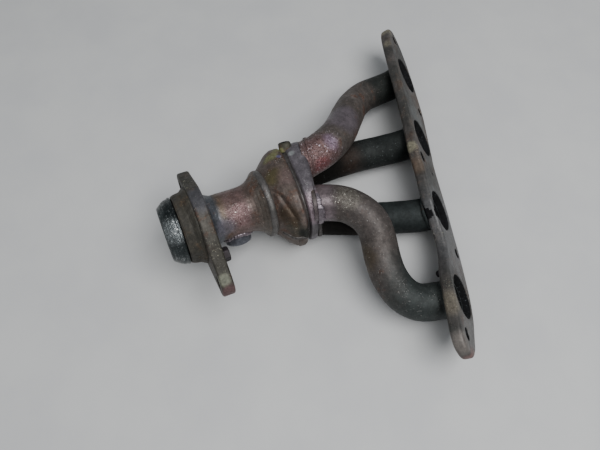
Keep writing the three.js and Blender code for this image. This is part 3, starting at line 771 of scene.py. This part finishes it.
YELLOW = (0.2, 0.205, 0.09)
CAP_STEEL = steel(
    "collector_cap_metal", ((0.09, 0.08, 0.09), (0.15, 0.135, 0.15)), RUST_BROWN, 0.2,
    ((0.5, 0.5, 0.5), 0.4), (0.36, 0.58), 0.5, 0.42, 0.5,
    patches=[
        # painted highlight: a small white spot high on the cap
        (on_skin(12, 70), 4, 2.5, (0.34, 0.36, 0.36), 0.7, 0.3),
        # painted highlight: a light, glossy pink patch on the cap's near front, partly pink tint
        (on_skin(5, 142), 21, 11, (0.25, 0.19, 0.215), 0.85, 0.28),
        (on_skin(9, 180), 14, 8, (0.06, 0.055, 0.055), 0.6, None),
    ],
    # pits with pink-white painted glints where the cap front is lit
    pits_and_glints=[(on_skin(3, 142), 15, 7, (0.12, 0.05, 0.06), (0.85, 0.78, 0.84), 1.0)], seed=21,
)
BARREL_STEEL = steel(
    "collector_barrel_metal", ((0.075, 0.055, 0.044), (0.115, 0.092, 0.082)), RUST_BROWN, 0.35,
    ((0.4, 0.38, 0.3), 0.35), (0.42, 0.66), 0.45, 0.45, 0.55,
    patches=[
        (on_skin(36, 88), 11, 7, (0.09, 0.076, 0.03), 0.75, None),
        (on_skin(24, 92), 12, 7, (0.145, 0.1, 0.095), 0.6, None),
        (on_skin(19.5, 150), 8, 5, (0.15, 0.125, 0.115), 0.7, 0.42),
        (on_skin(28, 60), 8, 5, YELLOW, 0.8, 0.6),
        (on_skin(34, 56), 6, 4, YELLOW, 0.6, 0.6),
        (on_skin(21, 50), 6, 4, YELLOW, 0.7, 0.6),
        (on_skin(22.5, 68), 3.2, 2, (0.12, 0.11, 0.26), 0.7, 0.4),
        (on_skin(35, 146), 14, 7, (0.055, 0.036, 0.02), 0.85, None),
        (on_skin(31, 170), 13, 7, (0.045, 0.038, 0.024), 0.75, None),
        # painted shade: near black beside the groove on the near side
        (on_skin(20, 178), 11, 6, (0.012, 0.015, 0.013), 0.9, 0.75),
    ],
    # pits with white painted glints
    pits_and_glints=[(on_skin(24, 72), 7, 4, (0.03, 0.03, 0.02), (0.6, 0.6, 0.55), 0.8)], seed=22,
)
shell(
    "collector_cap_shell", "collector_cap", "collector_steel", CAP_STEEL, cap_outer, 0.0, CAP_STOP, 0.4,
    dent=0.2, seed=2.2,
)
shell(
    "collector_groove_bead", "cap_seam_weld", "weld", WELD, waist_outer, CAP_STOP - 0.4, BARREL_FROM + 0.4,
    0.4, dent=0.5, seed=3.2,
)


def cap_front():
    """The dished front wall that the four tubes enter."""
    rings = []
    for shrink, depth in ((1.0, 0.0), (0.93, 0.15), (0.8, 0.6), (0.6, 1.4), (0.35, 2.0), (0.05, 2.2)):
        wide, tall, square, lobe = CAP_ROWS[0][1:]
        x, y = oval(ANGLES, wide * shrink, tall * shrink, square, lobe)
        rings.append(oval_ring(0, x, y) + CAP_AHEAD * depth)
    rings = np.array(rings)
    rings = rings + CAP_AHEAD * 0.15 * rough(rings, 12, 2, 4.0)[..., None]
    piece("collector_cap_front", rings, None, "collector_steel", CAP_STEEL, loop=False)


cap_front()
barrel_stations = np.linspace(BARREL_FROM, BARREL_END + 0.3, 80)


def barrel_half(name, node, low, high, lift):
    """One pressed half of the barrel, between two angles; lift raises its skin at the seam as a lip."""
    count = int((high - low) / (2 * math.pi) * 300)
    angles = np.linspace(low, high, count)
    rows = []
    for d in barrel_stations:
        x, y = barrel_outer(d)
        turn = np.mod(angles, 2 * math.pi)
        wrapped = np.append(ANGLES, 2 * math.pi)
        xs = np.interp(turn, wrapped, np.append(x, x[0]))
        ys = np.interp(turn, wrapped, np.append(y, y[0]))
        edge = np.minimum(angles - low, high - angles)
        lip = 1 + lift * np.exp(-((edge / 0.05) ** 2)) / np.hypot(xs, ys)
        rows.append(oval_ring(d, xs * lip, ys * lip))
    outside = np.array(rows)
    radial = outward_of(outside, barrel_stations)
    outside += radial * (0.26 * rough(outside, 13, 3, 6.0) + 0.1 * rough(outside, 3, 2, 8.0))[..., None]
    inside = outside - radial * 2.4
    # rings run over the outside and back under the inside
    rings = np.concatenate([outside, inside[:, ::-1]], axis=1)
    piece(name, rings, node, "collector_steel", BARREL_STEEL, loop=False)


barrel_half("barrel_upper_shell", "collector_upper", -0.02, math.pi + 0.02, 1.1)
barrel_half("barrel_lower_shell", "collector_lower", math.pi - 0.02, 2 * math.pi + 0.02, 0.0)


def bead_along(name, node, points, radius, material, seed, sides=14, step=0.7, ripple=2.4):
    """An open run of weld laid on a line of layout points."""
    path = even(np.array(points, float), step)
    share = np.linspace(0, 1, len(path))
    taper = np.sqrt(np.clip(1 - np.abs(2 * share - 1) ** 6, 0.02, 1))
    run = share * len(path) * step
    wave = np.abs(np.sin(math.pi * run / ripple))
    size = radius * taper * (0.88 + 0.16 * wave)
    rings = sweep(path, size[:, None] + 0.18 * radius * rough(sweep(path, size, sides), 4, 2, seed), sides)
    piece(name, rings, node, "weld", material, loop=False)


for where, angle in (("near", math.pi + 0.03), ("far", 0.0)):
    line = [spot(d, angle, 0.5) for d in np.arange(19, 42, 1.0)]
    bead_along(f"seam_bead_{where}", f"seam_weld_{where}", line, 1.5, WELD, angle)


def ring_bead(name, node, distance, radius, half, rise, material, seed, ripple=36, lumps=0.22, sunk=0.0):
    """A weld laid right round the outlet axis."""
    centre, side, up, ahead = section(distance)
    rings = []
    for angle in turn(260):
        radial = side * math.cos(angle) + up * math.sin(angle)
        wave = abs(math.sin(0.5 * ripple * angle)) if ripple else 0.6
        lump = lumpy(radial * 2.4 + seed, 3)
        grow = 1 + 0.12 * (wave - 0.6) + lumps * lump
        drift = 0.5 * lumpy(radial * 1.7 + seed + 3, 2)
        ring = []
        for t in turn(16):
            raised = rise * grow * math.sin(t) * (1.0 if math.sin(t) > 0 else 0.4)
            out = radius + raised - sunk * max(0.0, math.cos(angle))
            ring.append(centre + radial * out + ahead * (half * grow * math.cos(t) + drift))
        rings.append(ring)
    piece(name, rings, node, "weld", material)


RIDGE_WELD = steel(
    "ridge_weld_metal", ((0.07, 0.068, 0.062), (0.13, 0.12, 0.118)), RUST_BROWN, 0.3,
    ((0.4, 0.4, 0.4), 0.5), (0.4, 0.6), 0.45, 0.4, 0.4, seed=23,
)
ring_bead("ridge_bead", "ridge_weld", 46.6, 29.6, 3.1, 2.0, RIDGE_WELD, 1.0, 0, 0.12, 1.5)

# ---- outlet
def turned(name, node, slot, profile, inner, material, sides=200, dent=0.15, seed=0.0, body="manifold",
           size=9.0, second=None):
    """A turned piece: profile lists (distance, radius) of its outside; inner is the bore radius."""
    run = run_along(profile)
    want = np.unique(np.concatenate([np.linspace(0, run[-1], max(int(run[-1] / 0.7), 8)), run]))
    d, r = (np.interp(want, run, column) for column in zip(*profile))
    for _ in range(2):
        r[1:-1] = 0.25 * r[:-2] + 0.5 * r[1:-1] + 0.25 * r[2:]
    radial = spokes(turn(sides), OUT_SIDE, OUT_UP)
    outside = np.array([on_axis(x) for x in d])[:, None, :] + radial[None] * r[:, None, None]
    outside = outside + radial[None] * (dent * rough(outside, size, 3, seed))[..., None]
    stops = (d[-1], 0.5 * (d[0] + d[-1]), d[0])
    inside = np.array([on_axis(x) + radial * (inner[1] if x >= inner[2] else inner[0]) for x in stops])
    rings = np.concatenate([outside, inside])
    inner_from = len(outside) - 1 if second else None
    piece(
        name, rings, node, slot, material, *([second] if second else []), inner_from=inner_from, body=body,
    )


def on_round(distance, radius, degrees):
    """A layout point off the outlet axis, at an angle from the far side."""
    angle = math.radians(degrees)
    return on_axis(distance, radius * math.cos(angle), radius * math.sin(angle))


PIPE_STEEL = steel(
    "outlet_pipe_metal", ((0.075, 0.062, 0.052), (0.11, 0.094, 0.08)), RUST_BROWN, 0.3,
    ((0.55, 0.5, 0.45), 0.55), (0.34, 0.6), 0.5, 0.42, 0.55,
    grades=(
        on_axis(0), AHEAD,
        [
            (52, None), (60, (0.1, 0.072, 0.062)), (68, (0.14, 0.09, 0.085)), (80, (0.14, 0.092, 0.085)),
            (86, (0.125, 0.092, 0.066)), (91, (0.066, 0.076, 0.09)), (101, (0.055, 0.06, 0.074)),
        ],
    ),
    patches=[
        (on_round(74, 20, 128), 13, 7, (0.21, 0.125, 0.125), 0.75, 0.28),
        (on_axis(88, -17, 10), 12, 7, (0.125, 0.115, 0.14), 0.75, 0.4),
    ],
    # pits with painted glints in the pink patch
    pits_and_glints=[(on_round(74, 20, 128), 14, 6, (0.06, 0.025, 0.025), (0.75, 0.68, 0.62), 1.0)], seed=24,
)
turned(
    "outlet_pipe_tube", "outlet_pipe", "tube_steel",
    [
        (48.6, 29.9), (50, 29.0), (52, 27.0), (54.6, 24.6), (57.8, 22.6), (61, 21.5), (66, PIPE_R + 0.2),
        (98, PIPE_R), (133.5, PIPE_R),
    ],
    (PIPE_R - 2, PIPE_R - 2, 0), PIPE_STEEL, dent=0.2, seed=7, second=SOOT_AND_HOLE_SHADE,
)


def plate_solid(name, outline, frame_of, thick, rounding):
    """A plate from a dense outline (N, 2): frame_of(u, v, depth) gives layout points. Its rim is rounded."""
    before, after = np.roll(outline, 1, 0), np.roll(outline, -1, 0)
    tangent = after - before
    tangent /= norm(tangent, axis=1)[:, None]
    inward = np.stack([-tangent[:, 1], tangent[:, 0]], 1)
    area = 0.5 * np.sum(outline[:, 0] * after[:, 1] - after[:, 0] * outline[:, 1])
    inward *= 1 if area > 0 else -1
    quarter = np.linspace(0, math.pi / 2, 6)
    arc = [(rounding * (1 - math.sin(a)), rounding * (1 - math.cos(a))) for a in quarter]
    steps = arc + [(0, thick / 2)] + [(i, thick - d) for i, d in arc[::-1]]
    rings = []
    for inset, depth in steps:
        flat = outline + inward * inset
        rings.append([frame_of(u, v, depth) for u, v in flat])
    rings = np.array(rings)
    outward = rings - rings.mean(1)[:, None, :]
    outward /= norm(outward, axis=2)[..., None]
    amount = 0.28 * rough(rings, 11, 3, 5.5)
    amount[0] = amount[-1] = 0
    rings = rings + outward * amount[..., None]
    return grid_mesh(name, rings, False)


def carve(mesh, cutters, angle=38):
    """Cuts tool meshes out of a mesh and returns the result."""
    holder = bpy.data.objects.new("carving", mesh)
    scene = bpy.context.scene.collection
    scene.objects.link(holder)
    while len(mesh.materials) < 2:
        mesh.materials.append(None)
    tools = []
    for cutter in cutters:
        for poly in cutter.polygons:
            poly.material_index = 1
        while len(cutter.materials) < 2:
            cutter.materials.append(None)
        tool = bpy.data.objects.new("tool", cutter)
        scene.objects.link(tool)
        modifier = holder.modifiers.new("cut", "BOOLEAN")
        modifier.operation = "DIFFERENCE"
        modifier.solver = "EXACT"
        modifier.material_mode = "INDEX"
        modifier.object = tool
        tools.append(tool)
    graph = bpy.context.evaluated_depsgraph_get()
    result = bpy.data.meshes.new_from_object(holder.evaluated_get(graph))
    for obj in (holder, *tools):
        bpy.data.objects.remove(obj)
    result.materials.clear()
    tidy_normals(result, angle)
    return result


def mark(mesh, is_inside):
    """Gives material slot 1 to the faces whose centre is_inside(point in layout mm)."""
    for poly in mesh.polygons:
        point = (np.array(poly.center) - ORIGIN) / MM
        poly.material_index = 1 if is_inside(point) else 0


def round_tool(name, centre_of, profile, sides=64, stretch=1.0, first=None, second=None, wander=0.0):
    """A cutter: profile lists (depth, radius); centre_of(depth) is on its axis."""
    rings = []
    for depth, radius in profile:
        ring = []
        for angle in turn(sides):
            off = wander * lumpy((math.cos(angle) * 3, math.sin(angle) * 3, depth * 0.1), 3)
            reach = first * math.cos(angle) * stretch + second * math.sin(angle)
            ring.append(centre_of(depth) + reach * (radius + off))
        rings.append(ring)
    return grid_mesh(name, np.array(rings), False)


RIM = [
    (-57, 12), (-50, 25), (-36, 31), (-18, 32), (0, 30.5), (20, 30.5), (42, 28), (62, 27), (84, 27),
    (102, 28.5), (118, 28.5), (133, 25), (150, 24), (168, 22.5), (184, 16), (200, 11.5), (216, 14),
    (234, 23), (252, 26.5), (270, 29), (288, 31.5), (300, 27), (305.5, 14), (300, 2), (287, -8), (271, -19),
    (252, -26.5), (230, -29.5), (206, -30.3), (182, -28.5), (160, -27.5), (138, -24), (112, -20.5),
    (94, -23), (70, -26), (40, -29.8), (14, -26.5), (-10, -21), (-32, -13), (-48, -3),
]
HOLES = [(-42, 13, 1), (39, -19, 1), (115.5, 16.5, 1.15), (206, -19.5, 1), (287, 15.5, 1.15)]


def closed_spline(points, per=14):
    pts = np.array([(x, y, 0) for x, y in points], float)
    n = len(pts)
    out = []
    for i in range(n):
        p0, p1, p2, p3 = (pts[(i + k - 1) % n] for k in range(4))
        for j in range(per):
            t = j / per
            out.append(0.5 * (2 * p1 + (p2 - p0) * t + (2 * p0 - 5 * p1 + 4 * p2 - p3) * t**2
                              + (3 * p1 - p0 - 3 * p2 + p3) * t**3))
    return np.array(out)[:, :2]


TAN = (0.24, 0.22, 0.16)
PLATE_STEEL = steel(
    "head_flange_metal", ((0.045, 0.045, 0.042), (0.1, 0.09, 0.084)),
    ((0.07, 0.046, 0.034), (0.12, 0.085, 0.066)), 0.45, ((0.5, 0.46, 0.36), 0.45), (0.48, 0.72), 0.4, 0.5,
    0.7,
    patches=[
        (on_plate(-48, 26, 6), 11, 6, TAN, 0.8, 0.7),
        (on_plate(-24, 30, 4), 6, 4, TAN, 0.55, 0.6),
        (on_plate(108, 27, 6), 8, 4, (0.3, 0.28, 0.2), 0.85, 0.7),
        (on_plate(128, 25, 5), 12, 7, (0.12, 0.085, 0.06), 0.7, None),
        (on_plate(262, 27, 5), 14, 8, (0.19, 0.165, 0.125), 0.65, 0.6),
        (on_plate(303, 12, 4), 10, 5, (0.2, 0.105, 0.095), 0.7, 0.55),
        (on_plate(294, 26, 4), 12, 6, (0.18, 0.16, 0.145), 0.7, 0.5),
        (on_plate(190, -5, 0), 60, 30, (0.115, 0.115, 0.12), 0.6, 0.42),
        (on_plate(60, 0, 0), 24, 14, (0.105, 0.112, 0.112), 0.6, 0.45),
        (on_plate(285, 2, 0), 26, 14, (0.14, 0.14, 0.138), 0.6, 0.45),
    ],
    # pits with bright tan specks painted as glints
    pits_and_glints=[
        (on_plate(-46, 27, 5), 12, 5, (0.05, 0.045, 0.035), (0.55, 0.5, 0.4), 0.9),
        (on_plate(110, 27, 6), 10, 4, (0.06, 0.05, 0.04), (0.6, 0.56, 0.42), 0.9),
        (on_plate(256, 27, 5), 20, 8, (0.05, 0.04, 0.03), (0.5, 0.46, 0.36), 0.7),
        (on_plate(195, 10, 3), 14, 7, (0.04, 0.035, 0.03), (0.42, 0.4, 0.32), 0.6),
    ],
    seed=25,
)


def head_flange():
    outline = closed_spline(RIM)
    body = plate_solid("head_flange_blank", outline, lambda u, v, d: on_plate(u, v, d), PLATE, 2.9)
    tools = []
    for i in range(4):
        start = PATHS[i][0]
        depth0 = FUNNEL + 0.4
        drift = unit(PATHS[i][4] - PATHS[i][0])
        drift = drift / (-drift.dot(FACE_OUT))

        def centre_of(depth, i=i, start=start, drift=drift, depth0=depth0):
            straight = port(i) - FACE_OUT * depth
            if depth <= 0:
                return straight
            share = min(depth / depth0, 1.0)
            return straight * (1 - share) + (start + drift * (depth - depth0)) * share

        profile = [
            (-2, PORT_R + 0.8), (-0.4, PORT_R + 0.5), (0.5, PORT_R - 0.4), (2.4, PORT_R - 1.8),
            (FUNNEL, TUBE_R + 1.2), (PLATE + 3, TUBE_R + 1.0),
        ]
        tools.append(round_tool(f"port_tool_{i}", centre_of, profile, 96, 1.0, FACE_ALONG, FACE_UP, 0.35))
    for along, up, stretch in HOLES:
        tools.append(
            round_tool(
                "bolt_tool", lambda depth, a=along, u=up: on_plate(a, u, depth),
                [(-2, 5.6), (-0.2, 5.3), (0.5, 4.8), (9.5, 4.8), (10.2, 5.3), (12, 5.8)], 40, stretch,
                FACE_ALONG, FACE_UP, 0.12,
            ),
        )
    tools.append(
        round_tool(
            "dowel_tool", lambda depth: on_plate(125, -5, depth), [(-2, 2), (12, 2)], 20, 1.0, FACE_ALONG,
            FACE_UP,
        ),
    )
    plate = carve(body, tools)

    def in_port(point):
        """In a port's funnel or the seat of its tube, or deep in a bolt hole."""
        depth = (point - port(0)).dot(-FACE_OUT)
        if not 0.35 < depth < PLATE - 0.3:
            return False
        for i in range(4):
            off = point - port(i)
            off = off + FACE_OUT * depth
            drift = PATHS[i][0] - port(i)
            off = off - (drift + FACE_OUT * (FUNNEL + 0.4)) * min(max(depth / (FUNNEL + 0.4), 0), 1)
            if norm(off) < PORT_R + 0.2:
                return True
        return any(norm(point - on_plate(along, up, depth)) < 6.0 for along, up, _ in HOLES)

    # the ports and bolt holes take the near-black lining: soot deepened by painted shade in the ports,
    # painted shade alone in the bolt holes
    mark(plate, in_port)
    add("head_flange_plate", plate, "manifold", ["head_flange"], "flange_steel", PLATE_STEEL, SOOT_AND_HOLE_SHADE)


head_flange()

FLANGE_CORE, EAR_R, EAR_FAR, EAR_NEAR = 37.0, 13.0, 41.5, -57.5


def on_flange(u, v, depth):
    """depth runs from the outer (downpipe) face towards the collector."""
    return on_axis(FLANGE_START + FLANGE_THICK - depth, u, v)


def hull_outline():
    far = math.acos((FLANGE_CORE - EAR_R) / EAR_FAR)
    near = math.acos((FLANGE_CORE - EAR_R) / -EAR_NEAR)
    pts = []
    arcs = [
        (0, FLANGE_CORE, far, math.pi - near), (EAR_NEAR, EAR_R, math.pi - near, math.pi + near),
        (0, FLANGE_CORE, math.pi + near, 2 * math.pi - far), (EAR_FAR, EAR_R, -far, far),
    ]
    for cx, radius, a, b in arcs:
        for angle in np.linspace(a, b, 40):
            pts.append((cx + radius * math.cos(angle), radius * math.sin(angle)))
    closed = np.array(pts + pts[:1])
    run = run_along(closed)
    want = np.linspace(0, run[-1], 360, endpoint=False)
    return np.stack([np.interp(want, run, closed[:, 0]), np.interp(want, run, closed[:, 1])], 1)


FLANGE_STEEL = steel(
    "outlet_flange_metal", ((0.03, 0.028, 0.021), (0.06, 0.054, 0.045)), RUST_BROWN, 0.35,
    ((0.45, 0.44, 0.36), 0.45), (0.48, 0.72), 0.4, 0.5, 0.7,
    patches=[
        (on_flange(2, 37, 8), 17, 10, (0.082, 0.082, 0.095), 0.75, 0.5),
        (on_flange(-62, 11, 4), 7, 4, (0.16, 0.165, 0.125), 0.85, 0.65),
        (on_flange(-70, 2, 6), 10, 5, (0.12, 0.068, 0.068), 0.9, 0.6),
    ],
    # pits with bright tan specks painted as glints
    pits_and_glints=[
        (on_flange(28, 31, 6), 17, 6, (0.03, 0.026, 0.018), (0.55, 0.52, 0.38), 0.9),
        (on_flange(-45, 22, 5), 18, 8, (0.03, 0.026, 0.018), (0.42, 0.4, 0.3), 0.6),
    ],
    seed=26,
)


def outlet_flange():
    body = plate_solid("outlet_flange_blank", hull_outline(), on_flange, FLANGE_THICK, 1.9)
    tools = []
    for reach, radius in ((0.0, PIPE_R + 0.4), (EAR_FAR, 5.5), (EAR_NEAR, 5.5)):
        profile = [
            (-2, radius + 0.7), (-0.2, radius + 0.5), (0.5, radius), (FLANGE_THICK - 0.5, radius),
            (FLANGE_THICK + 0.2, radius + 0.5), (FLANGE_THICK + 2, radius + 0.7),
        ]
        tools.append(
            round_tool(
                "flange_tool", lambda depth, r=reach: on_flange(r, 0, depth), profile, 72, 1.0, OUT_SIDE,
                OUT_UP,
            ),
        )
    plate = carve(body, tools)

    def in_hole(point):
        centres = [on_flange(reach, 0, FLANGE_THICK / 2) for reach in (EAR_FAR, EAR_NEAR)]
        offs = [point - c for c in centres]
        return any(norm(off - AHEAD * off.dot(AHEAD)) < 5.8 and abs(off.dot(AHEAD)) < 5 for off in offs)

    # the bolt holes take the near-black lining, which is painted shade here
    mark(plate, in_hole)
    add("outlet_flange_plate", plate, "manifold", ["outlet_flange"], "flange_steel", FLANGE_STEEL, SOOT_AND_HOLE_SHADE)


outlet_flange()
COLLAR_STEEL = steel(
    "outlet_collar_metal", ((0.028, 0.026, 0.02), (0.056, 0.05, 0.04)),
    ((0.055, 0.036, 0.02), (0.09, 0.06, 0.036)), 0.4, ((0.25, 0.24, 0.16), 0.3), (0.55, 0.8), 0.3, 0.7, 0.8,
    grain=1.3, seed=27,
)
turned("flange_bead", "outlet_flange_weld", "weld",
       [(90.5, 20.9), (92, 21.5), (94.4, 22.6), (96.5, 24.0), (98.2, 25.6), (98.8, 26.2), (98.8, 23.0)],
       (PIPE_R - 0.4, PIPE_R - 0.4, 0), PIPE_STEEL, dent=0.35, seed=5, size=7.0)
turned(
    "outlet_collar_ring", "outlet_collar", "flange_steel",
    [
        (109.3, 33.2), (109.6, 34.6), (111.2, 34.2), (113.2, 32.8), (114.8, 31.6), (118, 31.0),
        (121.4, 30.3), (122.6, 29.5), (122.8, 28.6),
    ],
    (PIPE_R + 0.3, PIPE_R + 0.3, 0), COLLAR_STEEL, dent=0.55, seed=9, size=6.0,
)
# Dark ring with a painted highlight: a light, glossy band high on its near side, with near-white painted
# glints in it.
RING_STEEL = steel(
    "sealing_ring_metal", ((0.014, 0.019, 0.02), (0.042, 0.052, 0.053)),
    ((0.03, 0.022, 0.016), (0.05, 0.036, 0.026)), 0.05, ((0.75, 0.78, 0.78), 0.9), (0.24, 0.46), 0.7, 0.5,
    0.6, grain=1.1, patches=[(on_round(131, 28, 118), 15, 9, (0.2, 0.22, 0.225), 0.8, 0.22)],
    pits_and_glints=[(on_round(131, 28, 118), 17, 8, (0.02, 0.022, 0.022), (0.9, 0.92, 0.92), 1.0)], seed=28,
)
turned(
    "sealing_ring_donut", "sealing_ring", "ring_steel",
    [
        (123.3, 28.4), (123.5, 29.5), (124.2, 29.9), (125.6, 29.9), (126.2, 28.9), (127.4, 29.0),
        (129.4, 28.4), (131.8, 27.0), (134.0, 25.4), (136.0, 23.8), (136.5, 23.2), (136.6, 22.6),
    ],
    (PIPE_R + 0.35, PIPE_R + 0.35, 0), RING_STEEL, sides=240, dent=0.09, seed=10, body="loose_ring",
    size=5.0,
)

# ---- sensor boss and small pieces
BOSS_AT, BOSS_R, BOSS_BORE, BOSS_REACH = 76.5, 12.0, 8.0, 27.5
BOSS_DOWN = math.radians(50)
BOSS_WAY = -OUT_SIDE * math.cos(BOSS_DOWN) - OUT_UP * math.sin(BOSS_DOWN)
BOSS_X = AHEAD
BOSS_Y = np.cross(BOSS_WAY, AHEAD)


def boss_body(name, node, slot, profile, bore, material, centre, way, x, y, sides=96, dent=0.1, seed=0.0,
              bore_depth=None):
    """A turned boss: profile (reach, radius) from its foot outwards, with an open bore."""
    radial = spokes(turn(sides), x, y)
    rings = np.array([centre + way * reach + radial * radius for reach, radius in profile])
    rings = rings + radial[None] * (dent * rough(rings, 5, 3, seed))[..., None]
    floor = profile[0][0] if bore_depth is None else profile[-1][0] - bore_depth
    inner = [centre + way * reach + radial * bore for reach in (profile[-1][0], floor)]
    rings = np.concatenate([rings, np.array(inner)])
    # the bore takes the near-black lining: painted shade inside it, with soot where it opens to the exhaust
    piece(name, rings, node, slot, material, SOOT_AND_HOLE_SHADE, loop=bore_depth is None, inner_from=len(profile) - 1)


BOSS_STEEL = steel(
    "sensor_boss_metal", ((0.085, 0.088, 0.105), (0.16, 0.165, 0.19)), RUST_BROWN, 0.1,
    ((0.6, 0.6, 0.66), 0.5), (0.28, 0.5), 0.65, 0.35, 0.4, seed=29,
)
boss_body(
    "sensor_boss_body", "sensor_boss", "tube_steel",
    [
        (18, BOSS_R), (25.8, BOSS_R), (26.8, BOSS_R - 0.35), (27.3, BOSS_R - 0.9),
        (BOSS_REACH, BOSS_R - 1.6), (BOSS_REACH, BOSS_BORE + 0.6),
    ],
    BOSS_BORE, BOSS_STEEL, on_axis(BOSS_AT), BOSS_WAY, BOSS_X, BOSS_Y, seed=12,
)


def boss_weld():
    """The bead in the corner between the boss and the pipe."""
    rings = []
    for angle in turn(150):
        radial = BOSS_X * math.cos(angle) + BOSS_Y * math.sin(angle)
        sideways = BOSS_R * math.sin(angle)
        reach = math.sqrt(PIPE_R**2 - sideways**2)
        wave = abs(math.sin(14 * angle))
        grow = 1 + 0.15 * (wave - 0.6) + 0.3 * lumpy(radial * 2.2 + 4, 3)
        foot = on_axis(BOSS_AT) + radial * BOSS_R + BOSS_WAY * reach
        ring = []
        for t in turn(12):
            ring.append(foot + (radial * math.cos(t) * 2.6 + BOSS_WAY * math.sin(t) * 2.4) * grow)
        rings.append(ring)
    piece("sensor_boss_bead", rings, "sensor_boss_weld", "weld", WELD_PINK_PAINTED_HIGHLIGHT)


boss_weld()
NUT_STEEL = steel(
    "flange_nut_metal", ((0.02, 0.018, 0.02), (0.045, 0.036, 0.04)), RUST_BROWN, 0.15, None, (0.5, 0.7),
    0.4, 0.4, 0.5, seed=30,
)


NUT_SIDE, NUT_UP, NUT_R, NUT_LENGTH = -31.5, -9.0, 6.8, 7.5


def flange_nut():
    """A hexagon nut with chamfered corners, against the back of the flange."""
    rings = []
    angles = turn(96)
    radial = spokes(angles, OUT_SIDE, OUT_UP)
    flat = NUT_R * math.cos(math.pi / 6) / np.cos(np.mod(angles + math.pi / 6, math.pi / 3) - math.pi / 6)
    end = FLANGE_START - 0.5
    start = end - NUT_LENGTH
    chamfer = ((end, 0.1), (start + 1.6, 0.1), (start + 0.8, 0.4), (start + 0.2, 1.0), (start, 1.8))
    for distance, limit in chamfer:
        middle = on_axis(distance, NUT_SIDE, NUT_UP)
        rings.append(middle + radial * np.minimum(flat, NUT_R - limit)[:, None])
    for distance, radius in ((start, 3.4), (end - 0.5, 3.4)):
        rings.append(on_axis(distance, NUT_SIDE, NUT_UP) + radial * radius)
    # the nut's bore takes the near-black lining, which is painted shade
    piece("flange_nut_body", rings, "flange_nut", "tube_steel", NUT_STEEL, SOOT_AND_HOLE_SHADE, loop=False, inner_from=5)


flange_nut()
_, SHIELD_SIDE, SHIELD_UP, _ = section(13.5)
SHIELD_TILT = math.radians(43.8)
SHIELD_WAY = SHIELD_SIDE * math.cos(SHIELD_TILT) + SHIELD_UP * math.sin(SHIELD_TILT)
SHIELD_FOOT = on_axis(13.5, 32.9, 27.2)
BOSS_RUST = steel(
    "shield_boss_metal", ((0.03, 0.03, 0.022), (0.065, 0.06, 0.04)), RUST_BROWN, 0.4, None, (0.6, 0.8), 0.2,
    0.5, 0.6, patches=[(SHIELD_FOOT - SHIELD_SIDE * 4 + AHEAD * 6, 5, 3, YELLOW, 0.8, 0.7)], seed=33,
)
boss_body(
    "shield_boss_body", "shield_boss", "collector_steel",
    [(-4, 6.2), (0.5, 5.9), (2.8, 5.6), (3.6, 5.0), (4.0, 4.2), (4.0, 3.2)], 2.6, BOSS_RUST, SHIELD_FOOT,
    SHIELD_WAY, AHEAD, np.cross(SHIELD_WAY, AHEAD), sides=64, dent=0.35, seed=13, bore_depth=3.0,
)
boss_body(
    "plate_peg_body", "plate_peg", "tube_steel", [(-1, 3.4), (4.4, 3.0), (5.4, 2.6), (6, 1.8), (6, 0.6)],
    0.3, NUT_STEEL, on_plate(229, 6, PLATE), -FACE_OUT, FACE_ALONG, FACE_UP, sides=40, dent=0.12, seed=14,
    bore_depth=0.4,
)

# ---- floor, light, camera
FLOOR_HALF = 4.0
floor = bpy.data.meshes.new("floor")
corners = [(x * FLOOR_HALF, y * FLOOR_HALF, 0) for x, y in ((-1, -1), (1, -1), (1, 1), (-1, 1))]
floor.from_pydata(corners, [], [(0, 1, 2, 3)])
floor_object = bpy.data.objects.new("floor", floor)
bpy.context.scene.collection.objects.link(floor_object)
floor_object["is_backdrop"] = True
ground = Nodes("floor_paint")
ground.link(
    ground.mix(ground.ramp(ground.noise(60, 3, 2.0), 0.3, 0.7), (0.56, 0.565, 0.57), (0.6, 0.605, 0.6)),
    ground.shader.inputs["Base Color"],
)
ground.shader.inputs["Roughness"].default_value = 0.7
floor.materials.append(ground.material)

world = bpy.data.worlds.new("studio")
bpy.context.scene.world = world
world.use_nodes = True
world.node_tree.nodes["Background"].inputs[0].default_value = (0.9, 0.95, 1.0, 1.0)
world.node_tree.nodes["Background"].inputs[1].default_value = 0.26

low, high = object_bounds()
MIDDLE = (low + high) / 2


def area(name, offset, size, power):
    light = bpy.data.lights.new(name, "AREA")
    light.shape = "RECTANGLE"
    light.size, light.size_y = size
    light.energy = power
    obj = bpy.data.objects.new(name, light)
    obj.location = MIDDLE + Vector(offset)
    obj.rotation_euler = (MIDDLE - obj.location).to_track_quat("-Z", "Y").to_euler()
    bpy.context.scene.collection.objects.link(obj)


area("key", (0.38, -0.42, 1.25), (1.1, 0.9), 19)
area("fill", (-0.7, -0.5, 1.1), (1.2, 0.9), 2.5)

# The view: from above, on the near side and a little left, as a hand-held wide lens sees it.
VIEW_ELEVATION = math.radians(63.4)
VIEW_SWING = math.radians(5.34)  # the view looks this far right of +Y
EYE = Vector(place((-151.0, -242.2, 420.6)))
LOOK = Vector(
    (
        math.cos(VIEW_ELEVATION) * math.sin(VIEW_SWING), math.cos(VIEW_ELEVATION) * math.cos(VIEW_SWING),
        -math.sin(VIEW_ELEVATION),
    ),
)
camera = bpy.data.cameras.new("camera")
camera.sensor_width = 36
camera.lens = 28.8
camera.clip_start = 0.01
camera_object = bpy.data.objects.new("camera", camera)
camera_object.location = EYE
camera_object.rotation_euler = LOOK.to_track_quat("-Z", "Y").to_euler()
bpy.context.scene.collection.objects.link(camera_object)
bpy.context.scene.camera = camera_object
